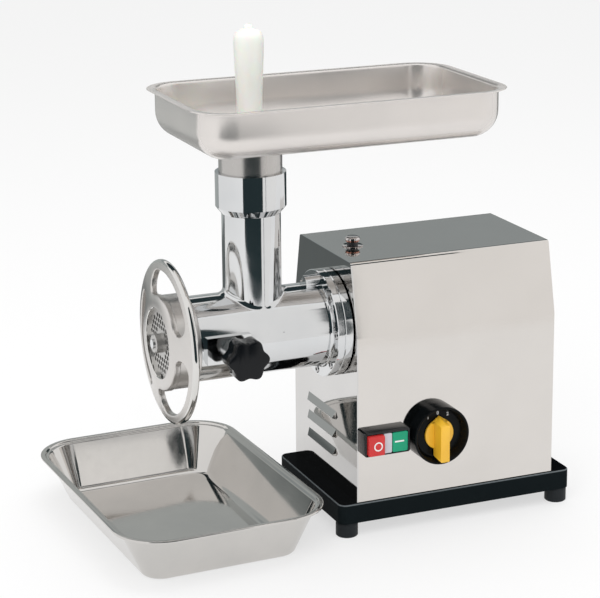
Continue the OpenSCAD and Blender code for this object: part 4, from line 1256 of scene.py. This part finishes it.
@dataclass
class FeedTray:
    """Pressed feed tray with upright walls, a rounded foot, a rolled rim and a round drop hole."""

    x: float = -6.16
    y: float = HEAD_Y
    bottom: float = 392.4
    length: float = 322.0
    width: float = 186.0
    corner: float = 38.0
    depth: float = 48.0
    sheet: float = 1.2
    fillet: float = 26.0
    lip: float = 8.0
    hole: float = 29.3
    hole_x: float = -79.0

    def outline(self, inset: float) -> list[tuple[float, float]]:
        """Gives the tray's outline, its straight runs held flat near their ends.

        Args:
            inset: How far the outline is drawn in.

        Returns:
            Points of the outline.
        """
        box = rounded_box(self.length - 2 * inset, self.width - 2 * inset, self.corner - inset, 14)
        points: list[tuple[float, float]] = []
        for (ax, ay), (bx, by) in zip(box, box[1:] + box[:1]):
            run = math.hypot(bx - ax, by - ay)
            shares = (0.0, 2.0 / run, 1 - 2.0 / run) if run > 20 else (0.0,)
            points += [(ax + (bx - ax) * t, ay + (by - ay) * t) for t in shares]
        return points

    def build(self) -> None:
        """Sweeps the tray's section round its outline and closes the floor round the hole."""
        wall, centre = self.corner - self.lip, spot(self.x, self.y, self.bottom)
        turns = [math.radians(-90 + 9 * i) for i in range(11)]
        inner = self.fillet - self.sheet
        outside = [
            (wall - self.fillet + self.fillet * math.cos(a), self.fillet + self.fillet * math.sin(a))
            for a in turns
        ]
        rim = [
            (wall, 44.6), (wall + 0.5, 45.8), (wall + 1.6, 46.6), (wall + 6.8, 46.9), (wall + 7.7, 47.1),
            (wall + self.lip, 47.5), (wall + 7.6, self.depth)
        ]
        rim += [(wall + 1.2, self.depth), (wall, 47.6), (wall - 0.8, 46.8), (wall - self.sheet, 45.4)]
        inside = [
            (wall - self.fillet + inner * math.cos(a), self.fillet + inner * math.sin(a))
            for a in reversed(turns)
        ]
        levels = [(self.corner - r, h) for r, h in outside + rim + inside]
        bm = stacked(centre, Facing.UP, self.outline, levels, False, False)
        loops = []
        for height in (0.0, self.sheet):
            level = centre.z + height * MM
            edge = [e for e in bm.edges if e.is_boundary and all(abs(v.co.z - level) < 1e-5 for v in e.verts)]
            ring = [
                bm.verts.new(Facing.UP.place(centre, self.hole_x + x, y, height))
                for x, y in circle(self.hole, 64)
            ]
            edge += [bm.edges.new((a, b)) for a, b in zip(ring, ring[1:] + ring[:1])]
            bmesh.ops.triangle_fill(bm, use_beauty=True, use_dissolve=False, edges=edge)
            loops.append(ring)
        low, high = loops
        for i in range(len(low)):
            bm.faces.new((low[i - 1], low[i], high[i], high[i - 1]))
        bmesh.ops.recalc_face_normals(bm, faces=bm.faces)
        tray = finish_mesh("feed_tray_pressing", bm, [TRAY_STEEL.material()], 50)
        settle(tray, "tray", "steel_satin", "feed_tray")


@dataclass
class Pusher:
    """Moulded pusher with a stop flange and a tapering handle."""

    x: float = -85.2
    y: float = HEAD_Y
    bottom: float = 261.0
    flange: float = 393.9
    rim: float = 440.4
    top: float = 506.0

    def build(self) -> None:
        """Turns the pusher's outline."""
        f, t = self.flange, self.top
        profile = [
            (0.01, self.bottom), (20, self.bottom), (23, self.bottom + 1), (24, self.bottom + 4), (24, f),
            (32.6, f), (33.5, f + 1), (33.5, f + 4)
        ]
        profile += [
            (32.5, f + 5), (26, f + 6.5), (20, f + 8), (15.5, f + 11.5), (13.0, f + 16), (12.2, f + 22),
            (12.2, self.rim - 6), (12.6, self.rim + 6)
        ]
        profile += [(13.3, self.rim + 20), (13.9, self.rim + 34), (14.2, t - 21), (14.2, t - 16)]
        crown = (0.15, 0.4, 0.7, 1.0, 1.25)
        profile += [(14.2 - 8 * (1 - math.cos(a)), t - 14 + 9.4 * math.sin(a)) for a in crown]
        profile += [
            (7.6, t - 4.7), (5.6, t - 4.3), (4.4, t - 3.6), (4.2, t - 1.6), (3.6, t - 0.5), (2.2, t),
            (0.01, t)
        ]
        bm = turned(spot(self.x, self.y, 0), Facing.UP, profile, 72)
        pusher = finish_mesh("pusher_body_moulding", bm, [PUSHER_PLASTIC.material()], 55)
        settle(pusher, "pusher_body", "white_plastic", "pusher")


@dataclass
class Controls:
    """Push buttons in their box and the rotary selector on the near side wall."""

    wall_y: float = -78.2
    box_x: float = 4.4
    box_l: float = 48.5
    box_z: float = 84.3
    box_h: float = 25.0
    box_depth: float = 10.0
    window_z: float = 85.9
    window: tuple[float, float] = (6.2, 50.5)
    button_h: float = 20.5
    stop: tuple[float, float] = (6.6, 17.3)
    lens: tuple[float, float] = (24.2, 9.0)
    start: tuple[float, float] = (33.5, 16.6)
    selector_x: float = 84.9
    selector_z: float = 97.2
    selector_r: float = 29.5
    selector_depth: float = 16.0
    dish_depth: float = 9.0
    ring_at: tuple[float, float] = (16.6, 95.6)
    dash_at: tuple[float, float] = (40.7, 96.8)
    dial_r: float = 21.4

    def build(self) -> None:
        """Builds the box, both buttons, the lens, the selector and their marks."""
        self._box()
        self._cap("stop_cap", self.stop, 4.5, 4.0, RED_CAP, "stop", "red_plastic", "stop_button")
        self._cap("start_cap", self.start, 4.5, 0.5, GREEN_CAP, "start", "green_plastic", "start_button")
        self._cap("pilot_window", self.lens, 8.0, 0.2, GREY_LENS, "machine", "grey_plastic", "pilot_lens")
        self._marks()
        self._selector()

    def _box(self) -> None:
        """Builds the switch box with its window."""
        centre = spot(self.box_x + self.box_l / 2, self.wall_y, self.box_z + self.box_h / 2)
        left, right = self.window
        middle = spot((left + right) / 2, self.wall_y, self.window_z + self.button_h / 2)
        outer = lambda inset: rounded_box(
            self.box_l - 2 * inset, self.box_h - 2 * inset, max(0.4, 2.2 - inset)
        )
        inner = lambda inset: rounded_box(right - left - 2 * inset, self.button_h + 0.4 - 2 * inset, 0.6)
        rings = [
            [Facing.NEAR.place(centre, x, y, h) for x, y in outer(i)]
            for i, h in [(0.0, 0.0)] + rounded_edge(1.2, self.box_depth, 4)
        ]
        rings += [
            [Facing.NEAR.place(middle, x, y, h) for x, y in inner(i)]
            for i, h in ((-0.4, self.box_depth), (0.0, self.box_depth - 0.4), (0.0, 2.0))
        ]
        box = finish_mesh("switch_box_body", skin(rings), [BLACK_SWITCH.material()], 40)
        settle(box, "machine", "inner_plastic", "switch_box")

    def _cap(
        self, name: str, run: tuple[float, float], depth: float, rise: float, finish: Moulding, body: str,
        slot: str, node: str
    ) -> None:
        """Builds one button or lens with softened edges.

        Args:
            name: Name of the piece.
            run: Its left edge and its length.
            depth: How deep it reaches into the box.
            rise: How far it stands out of the box.
            finish: Its finish.
            body: Body that it rides on.
            slot: Material slot of the record.
            node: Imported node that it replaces.
        """
        trim = 0.1 if body != "machine" else 0.0
        x, length = run
        centre = spot(x + length / 2, self.wall_y - self.box_depth, self.window_z + self.button_h / 2)
        outline = lambda inset: rounded_box(
            length - 2 * trim - 2 * inset, self.button_h - 2 * trim - 2 * inset, max(0.3, 1.6 - inset), 4
        )
        levels = [(0.0, -depth)] + rounded_edge(0.9, rise, 4)
        cap = finish_mesh(name, stacked(centre, Facing.NEAR, outline, levels), [finish.material()], 50)
        settle(cap, body, slot, node)

    def _marks(self) -> None:
        """Puts the ring on the stop cap and the dash on the start cap."""
        front = self.wall_y - self.box_depth
        profile = [(3.35, -0.1), (3.35, 0.06), (4.65, 0.06), (4.65, -0.1)]
        middle = spot(self.ring_at[0], front - 4.0, self.ring_at[1])
        ring = turned(middle, Facing.NEAR, profile, 48, False, False)
        settle(finish_mesh("stop_ring_mark", ring, [WHITE_MARK.material()], 40), "stop", "white_plastic")
        bar = lambda inset: rounded_box(9.9 - inset, 1.6 - inset, 0.4, 3)
        centre = spot(self.dash_at[0], front - 0.5, self.dash_at[1])
        dash = stacked(centre, Facing.NEAR, bar, [(0.0, -0.1), (0.0, 0.05), (0.1, 0.08)])
        settle(finish_mesh("start_bar_mark", dash, [WHITE_MARK.material()], 40), "start", "white_plastic")

    def _selector(self) -> None:
        """Builds the round housing, the pointer lever and the dial marks."""
        centre = spot(self.selector_x, self.wall_y, self.selector_z)
        r, d, floor = self.selector_r, self.selector_depth, self.selector_depth - self.dish_depth
        profile = [(4.05, -3.0), (11.8, -3.0), (11.8, 0.0), (r + 0.2, 0.0), (r, d - 2.0)]
        profile += [(r - i, h) for i, h in rounded_edge(1.2, d, 5)[1:]]
        profile += [
            (r - 1.8, d), (r - 2.2, d - 0.3), (r - 5.1, floor + 0.7), (r - 5.8, floor), (4.05, floor),
            (4.05, -3.0)
        ]
        housing = finish_mesh(
            "selector_housing_body", turned(centre, Facing.NEAR, profile, 96, False, False),
            [BLACK_DIAL.material()], 45
        )
        settle(housing, "machine", "knob_black", "selector_housing")
        top = floor + 2.3
        disc = turned(
            centre, Facing.NEAR,
            [
                (0.01, -12), (4.0, -12), (4.0, floor + 0.3), (15.2, floor + 0.3), (15.5, floor + 0.6),
                (15.5, top - 0.6), (15.0, top), (0.01, top)
            ],
            72
        )
        tip = [(-9.0, 12.4), (9.0, 12.4), (0.7, 18.4), (0.0, 18.8), (-0.7, 18.4)]
        point = skin(
            [
                [Facing.NEAR.place(centre, x * s, y * s, h) for x, y in tip]
                for s, h in ((1.0, floor + 0.3), (1.0, top - 0.5), (0.975, top))
            ]
        )
        levels = [
            (6.2, -22.3, 13.6, 18.5, top - 0.6), (5.0, -25.0, 11.6, 13.0, d + 5.7),
            (4.75, -25.2, 11.2, 12.6, d + 6.3), (4.3, -24.8, 10.8, 12.1, d + 6.5)
        ]
        rings = []
        for half, low, shoulder, peak, h in levels:
            edge = [
                (-half + 0.7, low), (half - 0.7, low), (half, low + 0.7), (half, shoulder),
                (half - 0.5, shoulder + 0.4)
            ]
            edge += [
                (0.5, peak), (-0.5, peak), (-half + 0.5, shoulder + 0.4), (-half, shoulder),
                (-half, low + 0.7)
            ]
            rings.append([Facing.NEAR.place(centre, x, y, h) for x, y in edge])
        shells = joined(disc, point, skin(rings))
        lever = finish_mesh("selector_lever_body", shells, [YELLOW_LEVER.material()], 30)
        settle(lever, "lever", "yellow_plastic", "selector_lever")
        self._dial(centre, floor)

    def _dial(self, centre: Vector, height: float) -> None:
        """Writes the positions 1, 0 and 2 and a thin arc on the dial.

        Args:
            centre: Middle of the dial on the wall.
            height: Height of the dial's face above the wall.
        """
        shells = []
        for figure, angle in (("1", 30.0), ("0", 0.0), ("2", -30.0)):
            curve = bpy.data.curves.new("figure", "FONT")
            curve.body, curve.size, curve.align_x, curve.align_y = figure, 4.9 * MM, "CENTER", "CENTER"
            curve.extrude, curve.offset = 0.04 * MM, 0.08 * MM
            text = bpy.data.objects.new("figure", curve)
            bpy.context.scene.collection.objects.link(text)
            mesh = bpy.data.meshes.new_from_object(text.evaluated_get(bpy.context.evaluated_depsgraph_get()))
            turn = math.radians(93 + angle)
            x, y = self.dial_r * math.cos(turn), self.dial_r * math.sin(turn)
            place = Facing.NEAR.place(centre, x, y, height + 0.03)
            mesh.transform(Matrix.Translation(place) @ Matrix.Rotation(math.radians(90), 4, "X"))
            bm = bmesh.new()
            bm.from_mesh(mesh)
            shells.append(bm)
            bpy.data.objects.remove(text)
            bpy.data.meshes.remove(mesh)
        rings = []
        for step in range(13):
            a = math.radians(97 + 2.2 * step)
            rings.append(
                [
                    Facing.NEAR.place(centre, r * math.cos(a), r * math.sin(a), height + h)
                    for r, h in ((23.2, 0.0), (23.5, 0.0), (23.5, 0.06), (23.2, 0.06))
                ]
            )
        marks = finish_mesh("dial_marks", joined(skin(rings), *shells), [WHITE_MARK.material()], 40)
        settle(marks, "machine", "white_plastic")


@dataclass
class VentPlug:
    """Breather plug on the housing top: a bright washer, a dark neck and a domed cap over a copper ring."""

    x: float = 29.0
    y: float = -3.0
    z: float = 275.0

    def build(self) -> None:
        """Turns the plug and gives its neck and its ring their own finish."""
        centre = spot(self.x, self.y, self.z)
        washer = turned(
            centre, Facing.UP,
            [
                (0.01, -8), (5, -8), (5, -0.05), (10.0, 0.0), (10.3, 0.2), (10.3, 0.8), (10.0, 1.0),
                (5.5, 1.0), (5.5, 5.1), (0.01, 5.1)
            ],
            64
        )
        ring = turned(
            centre, Facing.UP, [(0.01, 5.0), (6.8, 5.0), (7.0, 5.2), (7.0, 6.3), (6.8, 6.5), (0.01, 6.5)], 48
        )
        cap = turned(
            centre, Facing.UP,
            [
                (0.01, 6.45), (7.3, 6.45), (7.6, 6.7), (7.65, 7.2), (7.5, 8.2), (6.8, 9.2), (5.5, 9.8),
                (3.5, 9.97), (0.01, 10.0)
            ],
            48
        )
        bm = joined(washer, ring, cap)
        for face in bm.faces:
            middle = face.calc_center_median()
            height = (middle.z - centre.z) / MM
            reach = math.hypot(middle.x - centre.x, middle.y - centre.y) / MM
            face.material_index = 1 if 5.0 <= height <= 6.5 else 2 if 1.0 < height < 5.0 and reach < 6 else 0
        plug = finish_mesh(
            "vent_plug_body", bm, [VENT_METAL.material(), COPPER_RING.material(), INNER_PLASTIC.material()],
            35
        )
        settle(plug, "machine", "vent_steel", "vent_plug")


# ------------------------------------------------------------------ stage, light and camera


@dataclass
class Studio:
    """Pale floor, soft light, cards that show in reflections alone, and the camera."""

    floor_size: float = 12.0
    floor_white: float = 0.9
    floor_glow: float = 0.62
    fill: float = 0.80
    key_power: float = 18.0
    top_power: float = 14.0
    card_top: float = 1.7
    gap_y: float = -0.895
    right_y: float = -0.667
    flange_y: float = -0.66
    low_y: float = 0.675
    back_y: float = 0.725
    camera_place: tuple[float, float, float] = (-0.76656, -1.83899, 0.79363)
    camera_turn: tuple[float, float, float] = (22.51, 14.137, -0.486)
    focal_pixels: float = 2066.83
    level_row: float = 227.15
    sensor: float = 36.0

    @staticmethod
    def _sheet(
        name: str, corners: Sequence[tuple[float, float, float]]
    ) -> tuple[bpy.types.Object, Wiring]:
        """Makes one flat face with an empty material.

        Args:
            name: Name of the face and of its material.
            corners: Its corners in metres.

        Returns:
            The face's object and the wiring of its material.
        """
        mesh = bpy.data.meshes.new(name)
        mesh.from_pydata(list(corners), [], [tuple(range(len(corners)))])
        sheet = bpy.data.objects.new(name, mesh)
        bpy.context.scene.collection.objects.link(sheet)
        material = bpy.data.materials.new(name)
        material.use_nodes = True
        material.node_tree.nodes.clear()
        mesh.materials.append(material)
        return sheet, Wiring(material.node_tree)

    @staticmethod
    def _seen_plainly(w: Wiring) -> bpy.types.NodeSocket:
        """Gives 1 for rays from the camera, from a mirror or through glass, and 0 for the rest."""
        path = w.add("ShaderNodeLightPath")
        seen = path.outputs["Is Camera Ray"]
        for kind in ("Is Glossy Ray", "Is Transmission Ray"):
            seen = w.add("ShaderNodeMath", {0: seen, 1: path.outputs[kind]}, operation="MAXIMUM").outputs[0]
        return seen

    def _card(self, name: str, corners: Sequence[tuple[float, float, float]], bands: Bands) -> None:
        """Makes a card that shows in reflections alone, its colour changing with height.

        Args:
            name: Name of the card.
            corners: Its corners in metres.
            bands: Pairs of height in metres and colour.
        """
        card, w = self._sheet(name, corners)
        where = w.add("ShaderNodeTexCoord").outputs["Object"]
        height = w.add("ShaderNodeSeparateXYZ", {0: where}).outputs[2]
        top = bands[-1][0] or 1.0
        share = w.add("ShaderNodeMath", {0: height, 1: top}, operation="DIVIDE")
        ramp = w.add("ShaderNodeValToRGB", {0: share.outputs[0]})
        while len(ramp.color_ramp.elements) > 1:
            ramp.color_ramp.elements.remove(ramp.color_ramp.elements[-1])
        for i, (at, colour) in enumerate(bands):
            stop = ramp.color_ramp.elements[0] if i == 0 else ramp.color_ramp.elements.new(at / top)
            stop.position, stop.color = at / top, (*colour, 1)
        glow = w.add("ShaderNodeEmission", {"Color": ramp.outputs[0], "Strength": 1.0})
        w.add("ShaderNodeOutputMaterial", {"Surface": glow.outputs[0]})
        card.visible_camera = card.visible_diffuse = card.visible_shadow = False

    def _floor(self) -> None:
        """Lays a wide pale floor that keeps the object's shadow."""
        size = self.floor_size
        corners = [(-size, -size, 0), (size, -size, 0), (size, size, 0), (-size, size, 0)]
        _, w = self._sheet("studio_floor", corners)
        lit = w.add("ShaderNodeBsdfDiffuse", {"Color": (self.floor_white,) * 3 + (1,)})
        flat = w.add("ShaderNodeEmission", {"Color": (1, 1, 1, 1), "Strength": 1.0})
        share = w.add(
            "ShaderNodeMath", {0: self._seen_plainly(w), 1: self.floor_glow}, operation="MULTIPLY"
        )
        mixed = w.add("ShaderNodeMixShader", {0: share.outputs[0], 1: lit.outputs[0], 2: flat.outputs[0]})
        w.add("ShaderNodeOutputMaterial", {"Surface": mixed.outputs[0]})

    def _world(self) -> None:
        """Lights the scene softly from all round and shows white to camera and mirrors."""
        world = bpy.data.worlds.new("studio")
        bpy.context.scene.world = world
        world.use_nodes = True
        world.node_tree.nodes.clear()
        w = Wiring(world.node_tree)
        soft = w.add("ShaderNodeBackground", {"Color": (1, 1, 1, 1), "Strength": self.fill})
        white = w.add("ShaderNodeBackground", {"Color": (1, 1, 1, 1), "Strength": 1.0})
        mixed = w.add(
            "ShaderNodeMixShader", {0: self._seen_plainly(w), 1: soft.outputs[0], 2: white.outputs[0]}
        )
        w.add("ShaderNodeOutputWorld", {"Surface": mixed.outputs[0]})

    @staticmethod
    def _lamp(name: str, place: Vector, target: Vector, size: float, power: float) -> None:
        """Hangs a large soft lamp that mirrors don't show.

        Args:
            name: Name of the lamp.
            place: Where it hangs.
            target: Where it points.
            size: Length of its side in metres.
            power: Power in watts.
        """
        data = bpy.data.lights.new(name, "AREA")
        data.shape, data.size, data.energy = "SQUARE", size, power
        lamp = bpy.data.objects.new(name, data)
        bpy.context.scene.collection.objects.link(lamp)
        lamp.location = place
        lamp.rotation_mode = "QUATERNION"
        lamp.rotation_quaternion = (target - place).to_track_quat("-Z", "Y")
        lamp.visible_glossy = False

    def _camera(self) -> None:
        """Sets the camera at its place, turned by yaw, pitch and roll, with its lens and shift."""
        place = Vector(self.camera_place)
        yaw, pitch, roll = (math.radians(angle) for angle in self.camera_turn)
        ahead = Vector((math.sin(yaw) * math.cos(pitch), math.cos(yaw) * math.cos(pitch), -math.sin(pitch)))
        right = Vector((math.cos(yaw), -math.sin(yaw), 0))
        up = right.cross(ahead)
        side = right * math.cos(roll) + up * math.sin(roll)
        top = up * math.cos(roll) - right * math.sin(roll)
        data = bpy.data.cameras.new("camera")
        data.sensor_fit, data.sensor_width = "HORIZONTAL", self.sensor
        data.lens = self.focal_pixels * self.sensor / PICTURE[0]
        data.shift_y = -(PICTURE[1] / 2 - self.level_row) / PICTURE[0]
        data.clip_start, data.clip_end = 0.05, 50
        camera = bpy.data.objects.new("camera", data)
        bpy.context.scene.collection.objects.link(camera)
        camera.matrix_world = Matrix.Translation(place) @ Matrix((side, top, -ahead)).transposed().to_4x4()
        bpy.context.scene.camera = camera

    def _upright(self, name: str, run: tuple[float, float], y: float, top: float, bands: Bands) -> None:
        """Stands a rectangular card on the floor, across Y.

        Args:
            name: Name of the card.
            run: X where it starts and where it ends.
            y: Its place along Y.
            top: Its height.
            bands: Pairs of height and colour.
        """
        left, right = run
        self._card(name, [(left, y, 0), (right, y, 0), (right, y, top), (left, y, top)], bands)

    def build(self) -> None:
        """Sets up the whole studio."""
        bpy.context.scene.view_settings.view_transform = "Standard"
        self._floor()
        self._world()
        dark, slate, steel = (0.024, 0.038, 0.042), (0.13, 0.145, 0.145), (0.31, 0.34, 0.345)
        grey, white = (0.44, 0.465, 0.46), (0.97, 0.96, 0.95)
        top = self.card_top
        self._upright("gap_card", (-0.95, 0.55), self.gap_y, top, [(0.0, dark), (top, dark)])
        self._upright("right_card", (0.115, 2.6), self.right_y, top, [(0.0, white), (top, white)])
        bands = [
            (0.0, slate), (0.10, slate), (0.12, grey), (0.44, grey), (0.46, steel), (0.56, steel),
            (0.58, white), (0.68, white), (0.72, dark), (1.30, dark), (1.36, white), (top, white)
        ]
        self._upright("back_card", (-0.62, 1.6), self.back_y, top, bands)
        foot = [(0.230, 0.05), (0.248, 0.05), (0.248, 0.39), (0.44, 0.39), (0.44, 1.10)]
        edge = [(0.40, 1.10), (0.37, 0.985), (0.30, 0.754), (0.26, 0.587), (0.236, 0.454), (0.230, 0.30)]
        outline = [(x, self.flange_y, z) for x, z in foot + edge]
        self._card("flange_card", outline, [(0.0, dark), (1.1, dark)])
        self._upright("low_card", (0.28, 1.6), self.low_y, 0.43, [(0.0, dark), (0.43, dark)])
        aim = Vector((0, 0, 0.2))
        self._lamp("key_lamp", Vector((-1.2, -1.5, 1.9)), aim, 1.6, self.key_power)
        self._lamp("top_lamp", Vector((0.3, 0.2, 2.2)), aim, 1.8, self.top_power)
        self._camera()


def dress_nodes() -> None:
    """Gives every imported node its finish."""
    for name, node in frame["nodes"].items():
        material = NODE_FINISH[name].material()
        node.data.materials.clear()
        node.data.materials.append(material)
        log.info("%s is dressed in %s", name, material.name)


def main() -> None:
    """Builds the studio and every sub-assembly in order."""
    logging.basicConfig(level=logging.INFO, format="%(name)s: %(message)s")
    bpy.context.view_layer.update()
    Studio().build()
    dress_nodes()
    fasteners = ScrewField()
    Head().build(fasteners)
    RingWheel().build()
    ClampKnob().build()
    FeedTray().build()
    Pusher().build()
    CatchPan().build()
    Controls().build()
    VentPlug().build()


if __name__ == "__main__":
    main()
